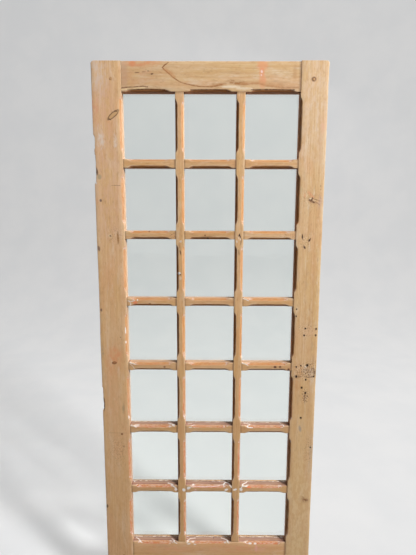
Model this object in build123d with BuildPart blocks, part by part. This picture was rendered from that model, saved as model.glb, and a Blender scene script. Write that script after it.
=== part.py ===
from build123d import *
from math import sqrt
import os

# A glazed pine door leaf: two stiles and two rails round seven rows of three panes.
# Sizes are in millimetres. The origin is the middle of the leaf's bottom edge.
# X runs to the right as seen from the front, Y from the front face to the back, Z up.

# The frame
thickness = 44
left_stile_width = 96.5
right_stile_width = 89
top_rail_height = 93
bottom_rail_height = 272.5
left_stile_above_rail = 0.8
right_stile_above_rail = 2.5
worn_corner_radius = 5

# The openings between the bars, columns from the left and rows from the top
bar_width = 28.5
columns = ("left", "middle", "right")
opening_widths = (172, 171, 176.5)
opening_heights = (210, 206, 202, 204, 208, 208, 204)

# The rebate at the back, and the glass and the splayed beads that it holds
glass_setback = 30
rebate_width = 7
glass_thickness = 3
glass_edge_gap = 1.5
bead_width = 6
bead_nose = 2
bead_back_width = 2.5
bead_below_back = 0.5
bead_mitre_gap = 0.1

# The stopped chamfers round each opening: a square block, then an ogee tongue
chamfer_width = 8.2
block_at_bar = 16
block_at_rail = 23
block_on_cross_member = 11
tongue_length = 20
tongue_turn_along = 0.35
tongue_turn_deep = 0.45

# The joints
tenon_thickness = 14
mortise_end_gap = 1
haunch_depth = 12
top_tenon_height = 62
low_tenon_height = 80
low_tenon_above_bottom = 36
high_tenon_height = 88
high_tenon_below_rail_top = 14
bar_tenon_in_frame = 20
bar_tenon_in_bar = 9
wedge_length = 60
wedge_end_height = 6

# The pegs through the tenons, with their places measured from the leaf's edges
peg_diameter = 10
peg_gap = 0.1
left_peg_from_edge = 63.5
right_peg_from_edge = 48.4
top_peg_above_rail_edge = 39

# The old hinge recesses in the left edge, as distance below the top and depth
recess_reach = 36
upper_recess = ((232, 4.8), (273, 4.5), (274, 2.7), (291, 2.7), (292, 5.2), (385, 5.6))
lower_recess = ((1096, 3.2), (1180, 5.6))

# The old screw holes in the right stile: from the right edge, below the top, diameter
screw_hole_depth = 18
screw_holes = (
    (67.1, 557.7, 4), (47.1, 568.8, 5), (61.4, 594.1, 4), (78, 808, 3.5), (78.5, 832.8, 3.5),
    (45.3, 877.2, 4.5), (7.7, 878.2, 4.5), (48.6, 901, 4.5), (8.2, 900.8, 4.5),
    (72.2, 1016.3, 3.5), (56.5, 1011.8, 4), (32.9, 1010.2, 7), (71, 1051.8, 4.5),
    (9.4, 1051.5, 4.5), (36.9, 1063.9, 4), (50.4, 1093.4, 4.5), (36.5, 1113.3, 3.5),
    (49.4, 1207.8, 5), (10.5, 1321.4, 4),
)

# Places that follow from the sizes
leaf_width = left_stile_width + sum(opening_widths) + 2 * bar_width + right_stile_width
left_edge = -leaf_width / 2
right_edge = leaf_width / 2
front = -thickness / 2
back = thickness / 2
glass_front = front + glass_setback
glass_back = glass_front + glass_thickness
fin_width = bar_width - 2 * rebate_width

opening_left = [left_edge + left_stile_width]
for width in opening_widths[:-1]:
    opening_left.append(opening_left[-1] + width + bar_width)
opening_right = [left + width for left, width in zip(opening_left, opening_widths)]

grid_height = sum(opening_heights) + (len(opening_heights) - 1) * bar_width
grid_top = bottom_rail_height + grid_height
opening_top = [grid_top]
for height in opening_heights[:-1]:
    opening_top.append(opening_top[-1] - height - bar_width)
opening_low = [top - height for top, height in zip(opening_top, opening_heights)]

rail_top = grid_top + top_rail_height
leaf_top = rail_top + right_stile_above_rail
inner_left = opening_left[0]
inner_right = opening_right[-1]
low_tenon = (low_tenon_above_bottom, low_tenon_above_bottom + low_tenon_height)
high_tenon_top = bottom_rail_height - high_tenon_below_rail_top
high_tenon = (high_tenon_top - high_tenon_height, high_tenon_top)
top_tenon = (grid_top, grid_top + top_tenon_height)
through_tenons = (low_tenon, high_tenon, top_tenon)

left_peg_x = left_edge + left_peg_from_edge
right_peg_x = right_edge - right_peg_from_edge
peg_heights = (sum(low_tenon) / 2, sum(high_tenon) / 2, grid_top + top_peg_above_rail_edge)
peg_places = [(x, z) for x in (left_peg_x, right_peg_x) for z in peg_heights]

across = Vector(1, 0, 0)
deep = Vector(0, 1, 0)
up = Vector(0, 0, 1)


def cut_chamfer(start, along, outward, length, first_block, last_block):
    """Cuts one stopped chamfer along a front arris of the part being built."""
    depth = chamfer_width / sqrt(2)
    turn = (tongue_turn_along * tongue_length, tongue_turn_deep * depth)
    side = Plane(origin=start, x_dir=along, z_dir=along.cross(outward + deep))
    with BuildSketch(side) as cut:
        with BuildLine():
            first_end = (first_block, 0)
            first_turn = (first_block + turn[0], turn[1])
            first_flat = (first_block + tongue_length, depth)
            rise = TangentArc(first_flat, first_turn, tangent=(-1, 0))
            TangentArc(first_turn, first_end, tangent=rise % 1)
            last_end = (length - last_block, 0)
            last_turn = (length - last_block - turn[0], turn[1])
            last_flat = (length - last_block - tongue_length, depth)
            fall = TangentArc(last_flat, last_turn, tangent=(1, 0))
            TangentArc(last_turn, last_end, tangent=fall % 1)
            Line(first_flat, last_flat)
            clear = -chamfer_width
            Polyline(first_end, (first_end[0], clear), (last_end[0], clear), last_end)
        make_face()
    extrude(cut.sketch, amount=chamfer_width, both=True, mode=Mode.SUBTRACT)


def cut_upright_chamfers(edge, outward):
    """Chamfers one upright arris beside every row of openings."""
    last_row = len(opening_heights) - 1
    for row, height in enumerate(opening_heights):
        low_block = block_at_rail if row == last_row else block_at_bar
        top_block = block_at_rail if row == 0 else block_at_bar
        start = Vector(edge, front, opening_low[row])
        cut_chamfer(start, up, outward, height, low_block, top_block)


def cut_cross_chamfer(column, edge, outward):
    """Chamfers one level arris over or under a column's opening."""
    start = Vector(opening_left[column], front, edge)
    block = block_on_cross_member
    cut_chamfer(start, across, outward, opening_widths[column], block, block)


def cut_cross_bar_mortises(edge, outward, tenon_length):
    """Sinks the six mortises for the cross bars into an upright face."""
    x = edge + outward.X * (tenon_length + mortise_end_gap) / 2
    for low in opening_low[:-1]:
        with Locations((x, 0, low - bar_width / 2)):
            Box(tenon_length + mortise_end_gap, tenon_thickness, fin_width, mode=Mode.SUBTRACT)


def cut_peg_holes():
    """Bores the peg holes from front to back."""
    with BuildSketch(Plane.XZ.offset(-back)) as holes:
        with Locations(peg_places):
            Circle(peg_diameter / 2 + peg_gap)
    extrude(holes.sketch, amount=thickness, mode=Mode.SUBTRACT)


def wedge_corners(outer, inward, tenon_edge, away):
    """Gives a wedge's three corners, seen from the front."""
    return (
        (outer, tenon_edge),
        (outer, tenon_edge + away * wedge_end_height),
        (outer + inward * wedge_length, tenon_edge),
    )


def make_stile(outer, inner, top):
    """Makes a stile with its rebate, chamfers, mortises and peg holes."""
    inward = 1 if inner > outer else -1
    outward = Vector(-inward, 0, 0)
    rebate_wall = inner - inward * rebate_width
    with BuildPart() as stile:
        with BuildSketch(Plane.XY):
            with BuildLine():
                Polyline(
                    (outer, front), (inner, front), (inner, glass_front),
                    (rebate_wall, glass_front), (rebate_wall, back), (outer, back), close=True,
                )
            make_face()
        extrude(amount=top)
        top_corners = edges().filter_by(Axis.Y).group_by(Axis.Z)[-1].sort_by(Axis.X)
        fillet(top_corners[0 if inward > 0 else -1], worn_corner_radius)
        with BuildSketch(Plane.XZ.offset(-tenon_thickness / 2)) as mortises:
            for low, high in through_tenons:
                with BuildLine():
                    Polyline(
                        (inner, low), (inner, high), (outer + inward * wedge_length, high),
                        (outer, high + wedge_end_height), (outer, low - wedge_end_height),
                        (outer + inward * wedge_length, low), close=True,
                    )
                make_face()
            haunch_middle = inner - inward * haunch_depth / 2
            with Locations((haunch_middle, bottom_rail_height / 2)):
                Rectangle(haunch_depth, bottom_rail_height)
            with Locations((haunch_middle, (grid_top + top) / 2)):
                Rectangle(haunch_depth, top - grid_top)
        extrude(mortises.sketch, amount=tenon_thickness, mode=Mode.SUBTRACT)
        cut_cross_bar_mortises(inner, outward, bar_tenon_in_frame)
        cut_peg_holes()
        cut_upright_chamfers(inner, outward)
    return stile


def make_rail(low, high, rebate_edge, tenons):
    """Makes a rail: a rebated length between the stiles, with haunched through tenons."""
    inward = 1 if rebate_edge == low else -1
    outward = up * inward
    fin_low = low + rebate_width if rebate_edge == low else low
    fin_high = high if rebate_edge == low else high - rebate_width
    with BuildPart() as rail:
        with BuildSketch(Plane.YZ.offset(inner_left)):
            with Locations(((front + glass_front) / 2, (low + high) / 2)):
                Rectangle(glass_setback, high - low)
        extrude(amount=inner_right - inner_left)
        with BuildSketch(Plane.YZ.offset(inner_left - rebate_width)):
            with Locations(((glass_front + back) / 2, (fin_low + fin_high) / 2)):
                Rectangle(back - glass_front, fin_high - fin_low)
        extrude(amount=inner_right - inner_left + 2 * rebate_width)
        with BuildSketch(Plane.XZ.offset(-tenon_thickness / 2)):
            with Locations(((inner_left + inner_right) / 2, (low + high) / 2)):
                Rectangle(inner_right - inner_left + 2 * haunch_depth, high - low)
            for tenon_low, tenon_high in tenons:
                with Locations((0, (tenon_low + tenon_high) / 2)):
                    Rectangle(leaf_width, tenon_high - tenon_low)
        extrude(amount=tenon_thickness)
        for left, right in zip(opening_right, opening_left[1:]):
            socket = bar_tenon_in_frame + mortise_end_gap
            with Locations(((left + right) / 2, 0, rebate_edge + inward * socket / 2)):
                Box(fin_width, tenon_thickness, socket, mode=Mode.SUBTRACT)
        cut_peg_holes()
        for column in range(len(columns)):
            cut_cross_chamfer(column, rebate_edge, outward)
    return rail


def make_upright_bar(left, right):
    """Makes a glazing bar from rail to rail: a wide front, a fin behind and stub tenons."""
    middle = (left + right) / 2
    with BuildPart() as bar:
        with BuildSketch(Plane.XY.offset(bottom_rail_height)):
            with Locations((middle, (front + glass_front) / 2)):
                Rectangle(bar_width, glass_setback)
        extrude(amount=grid_height)
        with BuildSketch(Plane.XY.offset(bottom_rail_height - rebate_width)):
            with Locations((middle, (glass_front + back) / 2)):
                Rectangle(fin_width, back - glass_front)
        extrude(amount=grid_height + 2 * rebate_width)
        with BuildSketch(Plane.XY.offset(bottom_rail_height - bar_tenon_in_frame)):
            with Locations((middle, 0)):
                Rectangle(fin_width, tenon_thickness)
        extrude(amount=grid_height + 2 * bar_tenon_in_frame)
        cut_cross_bar_mortises(left, across, bar_tenon_in_bar)
        cut_cross_bar_mortises(right, -across, bar_tenon_in_bar)
        cut_upright_chamfers(left, across)
        cut_upright_chamfers(right, -across)
    return bar


def make_cross_bar(row, column):
    """Makes the short glazing bar under one opening."""
    left, right = opening_left[column], opening_right[column]
    high = opening_low[row]
    middle = high - bar_width / 2
    last_column = len(columns) - 1
    left_tenon = bar_tenon_in_frame if column == 0 else bar_tenon_in_bar
    right_tenon = bar_tenon_in_frame if column == last_column else bar_tenon_in_bar
    with BuildPart() as bar:
        with BuildSketch(Plane.YZ.offset(left)):
            with Locations(((front + glass_front) / 2, middle)):
                Rectangle(glass_setback, bar_width)
        extrude(amount=right - left)
        with BuildSketch(Plane.YZ.offset(left - rebate_width)):
            with Locations(((glass_front + back) / 2, middle)):
                Rectangle(back - glass_front, fin_width)
        extrude(amount=right - left + 2 * rebate_width)
        with BuildSketch(Plane.YZ.offset(left - left_tenon)):
            with Locations((0, middle)):
                Rectangle(tenon_thickness, fin_width)
        extrude(amount=right - left + left_tenon + right_tenon)
        cut_cross_chamfer(column, high, -up)
        cut_cross_chamfer(column, high - bar_width, up)
    return bar


def make_pane(row, column):
    """Makes a pane that overlaps its opening and stands clear of the rebate walls."""
    overlap = rebate_width - glass_edge_gap
    middle_x = (opening_left[column] + opening_right[column]) / 2
    middle_z = (opening_low[row] + opening_top[row]) / 2
    with BuildPart() as pane:
        with BuildSketch(Plane.XZ.offset(-glass_front)):
            with Locations((middle_x, middle_z)):
                Rectangle(
                    opening_widths[column] + 2 * overlap, opening_heights[row] + 2 * overlap
                )
        extrude(amount=-glass_thickness)
    return pane


def make_bead(corner, along, inward, length):
    """Makes one splayed glazing bead with mitred ends, from a corner of the rebate."""
    depth = back - glass_back - bead_below_back
    with BuildPart() as bead:
        with BuildSketch(Plane(origin=corner, x_dir=inward, z_dir=along)):
            with BuildLine():
                Polyline(
                    (0, 0), (bead_width, 0), (bead_width, bead_nose),
                    (bead_back_width, depth), (0, depth), close=True,
                )
            make_face()
        extrude(amount=length)
        first_mitre = corner + along * bead_mitre_gap
        last_mitre = corner + along * (length - bead_mitre_gap)
        split(bisect_by=Plane(origin=first_mitre, z_dir=along - inward), keep=Keep.TOP)
        split(bisect_by=Plane(origin=last_mitre, z_dir=-along - inward), keep=Keep.TOP)
    return bead.part


def beads_round(row, column):
    """Makes the four beads of one opening, clockwise from its lower right corner."""
    left = opening_left[column] - rebate_width
    right = opening_right[column] + rebate_width
    low = opening_low[row] - rebate_width
    high = opening_top[row] + rebate_width
    return [
        make_bead(Vector(right, glass_back, low), -across, up, right - left),
        make_bead(Vector(left, glass_back, low), up, across, high - low),
        make_bead(Vector(left, glass_back, high), across, -up, right - left),
        make_bead(Vector(right, glass_back, high), -up, -across, high - low),
    ]


os.makedirs("parts", exist_ok=True)


def save(piece, name):
    """Labels a finished piece and writes it out."""
    piece.part.label = name
    export_step(piece.part, f"parts/{name}.step")


# The left stile, with the old hinge recesses open to the front face
left_stile_top = rail_top + left_stile_above_rail
left_stile = make_stile(left_edge, inner_left, left_stile_top)
with left_stile:
    with BuildSketch(Plane.XZ.offset(-front - recess_reach)) as recesses:
        for outline in (upper_recess, lower_recess):
            floor = [(left_edge + depth, leaf_top - below) for below, depth in outline]
            with BuildLine():
                Polyline((left_edge, floor[0][1]), *floor, (left_edge, floor[-1][1]), close=True)
            make_face()
    extrude(recesses.sketch, amount=recess_reach, mode=Mode.SUBTRACT)
save(left_stile, "left_stile")

# The right stile, with the holes that old fittings left
right_stile = make_stile(right_edge, inner_right, leaf_top)
with right_stile:
    for from_edge, below, diameter in screw_holes:
        with BuildSketch(Plane.XZ.offset(-front)) as hole:
            with Locations((right_edge - from_edge, leaf_top - below)):
                Circle(diameter / 2)
        extrude(hole.sketch, amount=-screw_hole_depth, mode=Mode.SUBTRACT)
save(right_stile, "right_stile")

# The rails
save(make_rail(grid_top, rail_top, grid_top, [top_tenon]), "top_rail")
save(make_rail(0, bottom_rail_height, bottom_rail_height, [low_tenon, high_tenon]), "bottom_rail")

# The glazing bars
save(make_upright_bar(opening_right[0], opening_left[1]), "left_upright_bar")
save(make_upright_bar(opening_right[1], opening_left[2]), "right_upright_bar")
for row in range(len(opening_heights) - 1):
    for column, side in enumerate(columns):
        save(make_cross_bar(row, column), f"cross_bar_{row + 1}_{side}")

# The glass
for row in range(len(opening_heights)):
    for column, side in enumerate(columns):
        save(make_pane(row, column), f"pane_{row + 1}_{side}")

# The beads behind the glass, the three openings of a row together
for row in range(len(opening_heights)):
    beads = [bead for column in range(len(columns)) for bead in beads_round(row, column)]
    with BuildPart() as row_of_beads:
        add(beads)
    save(row_of_beads, f"beads_row_{row + 1}")

# The pegs through the tenons
with BuildPart() as tenon_pegs:
    with BuildSketch(Plane.XZ.offset(-back)):
        with Locations(peg_places):
            Circle(peg_diameter / 2)
    extrude(amount=thickness)
save(tenon_pegs, "tenon_pegs")

# The wedges that spread the through tenons
with BuildPart() as tenon_wedges:
    with BuildSketch(Plane.XZ.offset(-tenon_thickness / 2)):
        for outer, inward in ((left_edge, 1), (right_edge, -1)):
            for low, high in through_tenons:
                for tenon_edge, away in ((low, -1), (high, 1)):
                    with BuildLine():
                        Polyline(*wedge_corners(outer, inward, tenon_edge, away), close=True)
                    make_face()
    extrude(amount=tenon_thickness)
save(tenon_wedges, "tenon_wedges")
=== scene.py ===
import math
import bmesh
import bpy
import numpy as np
from mathutils import Matrix, Vector, noise


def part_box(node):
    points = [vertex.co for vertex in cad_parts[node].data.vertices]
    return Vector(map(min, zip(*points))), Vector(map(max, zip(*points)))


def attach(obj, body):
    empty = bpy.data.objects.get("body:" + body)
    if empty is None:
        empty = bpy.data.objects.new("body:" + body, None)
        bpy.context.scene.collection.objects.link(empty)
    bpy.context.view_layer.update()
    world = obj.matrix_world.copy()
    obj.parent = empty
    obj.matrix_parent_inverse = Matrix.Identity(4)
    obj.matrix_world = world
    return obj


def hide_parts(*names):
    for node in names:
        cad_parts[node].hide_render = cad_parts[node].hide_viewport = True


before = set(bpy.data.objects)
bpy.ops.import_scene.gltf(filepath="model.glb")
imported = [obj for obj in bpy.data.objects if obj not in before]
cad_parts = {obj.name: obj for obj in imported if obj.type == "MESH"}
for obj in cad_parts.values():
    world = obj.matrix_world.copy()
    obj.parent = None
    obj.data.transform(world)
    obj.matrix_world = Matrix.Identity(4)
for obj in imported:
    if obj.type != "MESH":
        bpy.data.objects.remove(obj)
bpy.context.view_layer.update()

# An old stripped pine door leaf, dressed for a plain studio picture.
# Metres throughout, x to the right from the front, y from front to back, z up.
columns = ["left", "middle", "right"]
rows = [1, 2, 3, 4, 5, 6, 7]

leaf = {
    "paneOverlap": 0.0055,      # how far a pane laps behind the wood
    "glassSetback": 0.03,       # front face to glass
    "rebate": 0.007,            # width of the rebate behind the glass line
    "chamfer": 0.0082,
    "chamferDepth": 0.0085,     # front face to the inner line of the widest chamfer
    "blockAtBar": 0.016,        # square length beside a cross bar
    "blockAtRail": 0.02,
    "blockOnCross": 0.011,      # square length at a cross bar's ends
    "tongue": 0.02,             # length of the curved run-out
    "wear": 0.00028,            # how uneven the planed faces are
    "tenonHalf": 0.007,         # half of a tenon's thickness
    "barTenonHalf": 0.00725,    # half of a bar tenon's height
    "overrun": 0.002,           # how far a cutter starts outside the wood
    "lap": 0.003,               # how far an added tenon starts inside its board
    "inset": 0.0004,            # how far an added shape stays within the board's faces
    "spacing": 0.0085,          # between cross sections of a mesh
    "shortSpacing": 0.0062,     # the same on the cross bars
}

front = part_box("left_stile")[0].y
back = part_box("left_stile")[1].y
glassLine = front + leaf["glassSetback"]
chamferEnd = front + leaf["chamferDepth"]
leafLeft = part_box("left_stile")[0].x
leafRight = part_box("right_stile")[1].x
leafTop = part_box("right_stile")[1].z


def openingOf(row, column):
    low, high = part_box(f"pane_{row}_{column}")
    lap = leaf["paneOverlap"]
    return low.x + lap, high.x - lap, low.z + lap, high.z - lap


openings = {(row, column): openingOf(row, column) for row in rows for column in columns}
innerLeft = openings[1, "left"][0]
innerRight = openings[1, "right"][1]
gridTop = openings[1, "left"][3]
gridLow = openings[7, "left"][2]


# Meshes

def unit(vectors):
    return vectors / np.linalg.norm(vectors, axis=-1, keepdims=True)


def waver(along, seed, length, size):
    # a soft uneven line, the sum of four waves whose phases come from the seed
    phases = np.random.default_rng(seed).uniform(0, 2 * math.pi, 4)
    total = np.zeros_like(along)
    for i, phase in enumerate(phases):
        total += np.sin(along * 2 * math.pi / (length * (0.45 + 0.38 * i)) + phase) / 2
    return total * size / 2


def chamferCuts(along, spans, seed):
    # how wide the chamfer is at each station: square blocks, curved tongues, then the full width
    cuts = np.zeros_like(along)
    tongue = np.zeros_like(along)
    rnd = np.random.default_rng(seed)
    for low, high, lowBlock, highBlock in spans:
        lowStart = low + lowBlock + rnd.uniform(-0.002, 0.002)
        highStart = high - highBlock + rnd.uniform(-0.002, 0.002)
        tongues = leaf["tongue"] + rnd.uniform(-0.001, 0.006, 2)
        width = leaf["chamfer"] + rnd.uniform(-0.0013, 0.0004)
        rise = np.clip((along - lowStart) / tongues[0], 0, 1)
        fall = np.clip((highStart - along) / tongues[1], 0, 1)
        part = np.minimum(rise, fall)
        # a lamb's tongue, first hollow and then round, with no kink where they meet
        ogee = np.where(part < 0.35, 0.881 * part + 1.155 * part ** 2, 1 - 0.55 * ((1 - part) / 0.65) ** 2)
        cuts = np.maximum(cuts, ogee * (width + waver(along, seed + 1, 0.09, 0.0007)))
        tongue = np.maximum(tongue, np.sin(math.pi * part))
    return cuts, tongue


def placeStations(low, high, spacing, spans, extra=()):
    stops = [np.linspace(low, high, int((high - low) / spacing) + 2), np.array(extra, float)]
    stops.append(np.array([low + 0.0006, high - 0.0006]))
    reach = leaf["tongue"] + 0.009
    for start, end, lowBlock, highBlock in spans:
        stops.append(np.arange(start + lowBlock - 0.002, start + lowBlock + reach, 0.0022))
        stops.append(np.arange(end - highBlock - reach, end - highBlock + 0.002, 0.0022))
    stops = np.sort(np.concatenate(stops))
    kept = [low]
    for stop in stops:
        if low < stop < high and stop - kept[-1] > 0.0005 and high - stop > 0.0004:
            kept.append(stop)
    return np.array(kept + [high])


def sectionRings(corners, splits, walls):
    # each corner is (positions, cut, ease): cut None keeps it sharp, otherwise its arris is taken off;
    # beside the rings it gives how much of each point is chamfer, rubbed arris, and wall beside the glass,
    # walls being the runs between corners that face another such wall across a pane;
    # the finish paints the rubbed arris paler, partly as a painted highlight
    count = len(corners)
    groups, chamfers, arrises = [], [], []
    for i, (here, cut, ease) in enumerate(corners):
        none = np.zeros(len(here))
        if cut is None:
            groups.append([here])
            chamfers.append([none])
            arrises.append([none])
            continue
        inDir = unit(here - corners[i - 1][0])
        outDir = unit(corners[(i + 1) % count][0] - here)
        ease = np.minimum(ease, cut * 0.5)[:, None]
        first = here - inDir * cut[:, None]
        last = here + outDir * cut[:, None]
        down = unit(last - first)
        groups.append([first - inDir * ease, first + down * ease * 0.7, (first + last) / 2,
                       last - down * ease * 0.7, last + outDir * ease])
        full = np.clip((cut - 0.0015) / 0.004, 0, 1)
        worn = 1 - full
        chamfers.append([none, full, full, full, none])
        arrises.append([worn * 0.4, worn + full * 0.5, worn, worn + full * 0.9, worn * 0.4 + full * 0.9])
    points = []
    masks = {"chamfer": [], "arris": [], "wall": []}
    for i in range(count):
        points += groups[i]
        masks["chamfer"] += chamfers[i]
        masks["arris"] += arrises[i]
        wall = [np.zeros(len(groups[i][0])) for place in groups[i]]
        if i in walls:
            wall[-1] = wall[-1] + 1
        if (i - 1) % count in walls:
            wall[0] = wall[0] + 1
        masks["wall"] += wall
        start, end = groups[i][-1], groups[(i + 1) % count][0]
        for k in range(splits[i]):
            share = (k + 1) / (splits[i] + 1)
            points.append(start * (1 - share) + end * share)
            masks["chamfer"].append(np.zeros(len(start)))
            masks["arris"].append(np.zeros(len(start)))
            masks["wall"].append(np.full(len(start), 1.0 if i in walls else 0.0))
    return np.stack(points, 1), {mask: np.stack(values, 1) for mask, values in masks.items()}


def roughen(rings, along, amount, seed):
    # takes a little off every face, unevenly, never adding any
    before = np.roll(rings, 1, axis=1)
    after = np.roll(rings, -1, axis=1)
    run = after - before
    inward = unit(np.stack([-run[..., 1], run[..., 0]], -1) + 1e-12)
    middle = rings.mean(axis=1, keepdims=True)
    sign = np.sign(((middle - rings) * inward).sum(-1).sum())
    depth = np.zeros(rings.shape[:2])
    for i, s in enumerate(along):
        for j, (u, v) in enumerate(rings[i]):
            spot = Vector((u * 28, v * 28, s * 9 + seed * 3.1))
            depth[i, j] = 0.5 + 0.5 * noise.noise(spot)
    depth[0] += 0.0005 / max(amount, 1e-6)
    depth[-1] += 0.0005 / max(amount, 1e-6)
    return rings + inward * sign * (depth * amount)[..., None]


def skin(stations, count):
    # the faces of a closed body through a row of rings, each of count points, with flat ends
    faces = []
    for i in range(stations - 1):
        for j in range(count):
            k = (j + 1) % count
            faces.append((i * count + j, i * count + k, (i + 1) * count + k, (i + 1) * count + j))
    faces.append(tuple(range(count))[::-1])
    faces.append(tuple(range((stations - 1) * count, stations * count)))
    return faces


def newPiece(name, places, faces, values):
    # an object with its faces turned outwards, which keeps a number on each point for every name in values
    mesh = bpy.data.meshes.new(name)
    mesh.from_pydata(places, [], faces)
    for key, perPoint in values.items():
        layer = mesh.attributes.new(key, "FLOAT", "POINT")
        layer.data.foreach_set("value", perPoint.ravel().astype(np.float32))
    shaped = bmesh.new()
    shaped.from_mesh(mesh)
    bmesh.ops.recalc_face_normals(shaped, faces=shaped.faces)
    shaped.to_mesh(mesh)
    shaped.free()
    piece = bpy.data.objects.new(name, mesh)
    bpy.context.scene.collection.objects.link(piece)
    return piece


def meshFromRings(name, rings, along, masks, upright, tone, ends, dirtAndShade):
    # ends is the pair of shoulders, the last argument how dark the joint is at each: dirt, and painted shade
    # where that end lies in shadow
    stations, count = rings.shape[:2]
    s = np.repeat(along[:, None], count, axis=1)
    u, v = rings[..., 0], rings[..., 1]
    places = np.stack([u, v, s], -1) if upright else np.stack([s, v, u], -1)
    # darker towards each shoulder: dirt in the joint, and painted shade at an end that lies in shadow
    masks["jointDirtAndShade"] = np.maximum(dirtAndShade[0] * np.exp(-np.clip(s - ends[0], 0, None) / 0.0022),
                                dirtAndShade[1] * np.exp(-np.clip(ends[1] - s, 0, None) / 0.0022))
    masks["tongue"] = masks["chamfer"] * masks["tongue"][:, None]
    piece = newPiece(name, places.reshape(-1, 3).tolist(), skin(stations, count), masks)
    piece["tone"] = tone
    return piece


def prism(corners, low, high):
    # a straight block from an outline seen from the front, between two depths
    made = bmesh.new()
    near = [made.verts.new((x, low, z)) for x, z in corners]
    far = [made.verts.new((x, high, z)) for x, z in corners]
    made.faces.new(near)
    made.faces.new(far[::-1])
    for i in range(len(corners)):
        j = (i + 1) % len(corners)
        made.faces.new((near[j], near[i], far[i], far[j]))
    bmesh.ops.recalc_face_normals(made, faces=made.faces)
    return made


def block(x0, x1, y0, y1, z0, z1):
    return prism([(x0, z0), (x1, z0), (x1, z1), (x0, z1)], y0, y1)


def roundHole(x, z, radius, low, high, sides=16, mouth=0.0, end=1.0):
    # a bored hole, wider at its mouth by the amount given and narrower or not at its end
    made = bmesh.new()
    levels = [(low - 0.002, radius + mouth), (low + 0.0012, radius + mouth * 0.3), (high, radius * end)]
    ringsMade = []
    for y, size in levels:
        ring = []
        for k in range(sides):
            turn = 2 * math.pi * k / sides
            ring.append(made.verts.new((x + size * math.cos(turn), y, z + size * math.sin(turn))))
        ringsMade.append(ring)
    made.faces.new(ringsMade[0])
    made.faces.new(ringsMade[-1][::-1])
    for first, second in zip(ringsMade, ringsMade[1:]):
        for k in range(sides):
            n = (k + 1) % sides
            made.faces.new((first[k], first[n], second[n], second[k]))
    bmesh.ops.recalc_face_normals(made, faces=made.faces)
    return made


def combine(piece, shapes, operation):
    # joins the shapes to a piece, or takes them out of it
    for shape in shapes:
        mesh = bpy.data.meshes.new("shape")
        shape.to_mesh(mesh)
        shape.free()
        tool = bpy.data.objects.new("shape", mesh)
        bpy.context.scene.collection.objects.link(tool)
        step = piece.modifiers.new("step", "BOOLEAN")
        step.operation = operation
        step.solver = "MANIFOLD"
        step.object = tool
        applyModifiers(piece)
        bpy.data.objects.remove(tool)
        bpy.data.meshes.remove(mesh)


def applyModifiers(piece):
    bpy.context.view_layer.update()
    seen = piece.evaluated_get(bpy.context.evaluated_depsgraph_get())
    mesh = bpy.data.meshes.new_from_object(seen)
    old = piece.data
    piece.modifiers.clear()
    piece.data = mesh
    bpy.data.meshes.remove(old)


def dress(piece, material, slot, *nodes):
    # smooths, paints and hands the piece to the frame
    piece.data.materials.clear()
    piece.data.materials.append(material)
    piece.data.shade_smooth()
    piece.data.set_sharp_from_angle(angle=math.radians(38))
    if "tone" not in piece.data.attributes:
        piece.data.attributes.new("tone", "FLOAT", "POINT").data.foreach_set(
            "value", np.full(len(piece.data.vertices), piece.get("tone", 0.5), np.float32))
    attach(piece, "root")
    if nodes:
        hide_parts(*nodes)


# Materials

def put(tree, kind, sockets=None, **settings):
    made = tree.nodes.new(kind)
    for key, value in settings.items():
        setattr(made, key, value)
    for key, value in (sockets or {}).items():
        if isinstance(value, bpy.types.NodeSocket):
            tree.links.new(value, made.inputs[key])
        else:
            made.inputs[key].default_value = value
    return made


def calc(tree, operation, a, b=0.5, c=0.5, clamp=False):
    return put(tree, "ShaderNodeMath", {0: a, 1: b, 2: c}, operation=operation, use_clamp=clamp).outputs[0]


def times(tree, first, *others):
    for other in others:
        first = calc(tree, "MULTIPLY", first, other)
    return first


def vectorCalc(tree, operation, a, b, output=0):
    return put(tree, "ShaderNodeVectorMath", {0: a, 1: b}, operation=operation).outputs[output]


def lengthOf(tree, vector):
    return put(tree, "ShaderNodeVectorMath", {0: vector}, operation="LENGTH").outputs["Value"]


def pointValue(tree, name):
    # a number that the mesh keeps on its points
    return put(tree, "ShaderNodeAttribute", attribute_name=name).outputs["Fac"]


def ramp(tree, value, low, high, newLow=0.0, newHigh=1.0):
    sockets = {"Value": value, "From Min": low, "From Max": high, "To Min": newLow, "To Max": newHigh}
    return put(tree, "ShaderNodeMapRange", sockets, interpolation_type="SMOOTHSTEP").outputs[0]


def blendColour(tree, share, a, b, mode="MIX"):
    made = put(tree, "ShaderNodeMix", {0: share, 6: a, 7: b}, data_type="RGBA", blend_type=mode)
    return made.outputs[2]


def noiseAt(tree, vector, scale, detail=3.0, roughness=0.5, distortion=0.0):
    made = put(tree, "ShaderNodeTexNoise", {"Vector": vector, "Scale": scale, "Detail": detail,
                                            "Roughness": roughness, "Distortion": distortion})
    return made.outputs["Fac"]


def scaled(tree, vector, x, y, z):
    return vectorCalc(tree, "MULTIPLY", vector, (x, y, z))


def grainNoise(tree, grain, across, along, detail=3.0, roughness=0.5, distortion=0.0):
    # noise drawn out along the fibres, which run in the grain's third direction
    return noiseAt(tree, scaled(tree, grain, across, across, along), 1.0, detail, roughness, distortion)


def overlaid(tree, colour, coats):
    # lays tints over a colour, each by how far its noise has come from low to high
    for value, low, high, first, last, tint in coats:
        colour = blendColour(tree, ramp(tree, value, low, high, first, last), colour, tint)
    return colour


def newMaterial(name):
    material = bpy.data.materials.new(name)
    material.use_nodes = True
    material.node_tree.nodes.clear()
    return material, material.node_tree


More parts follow.
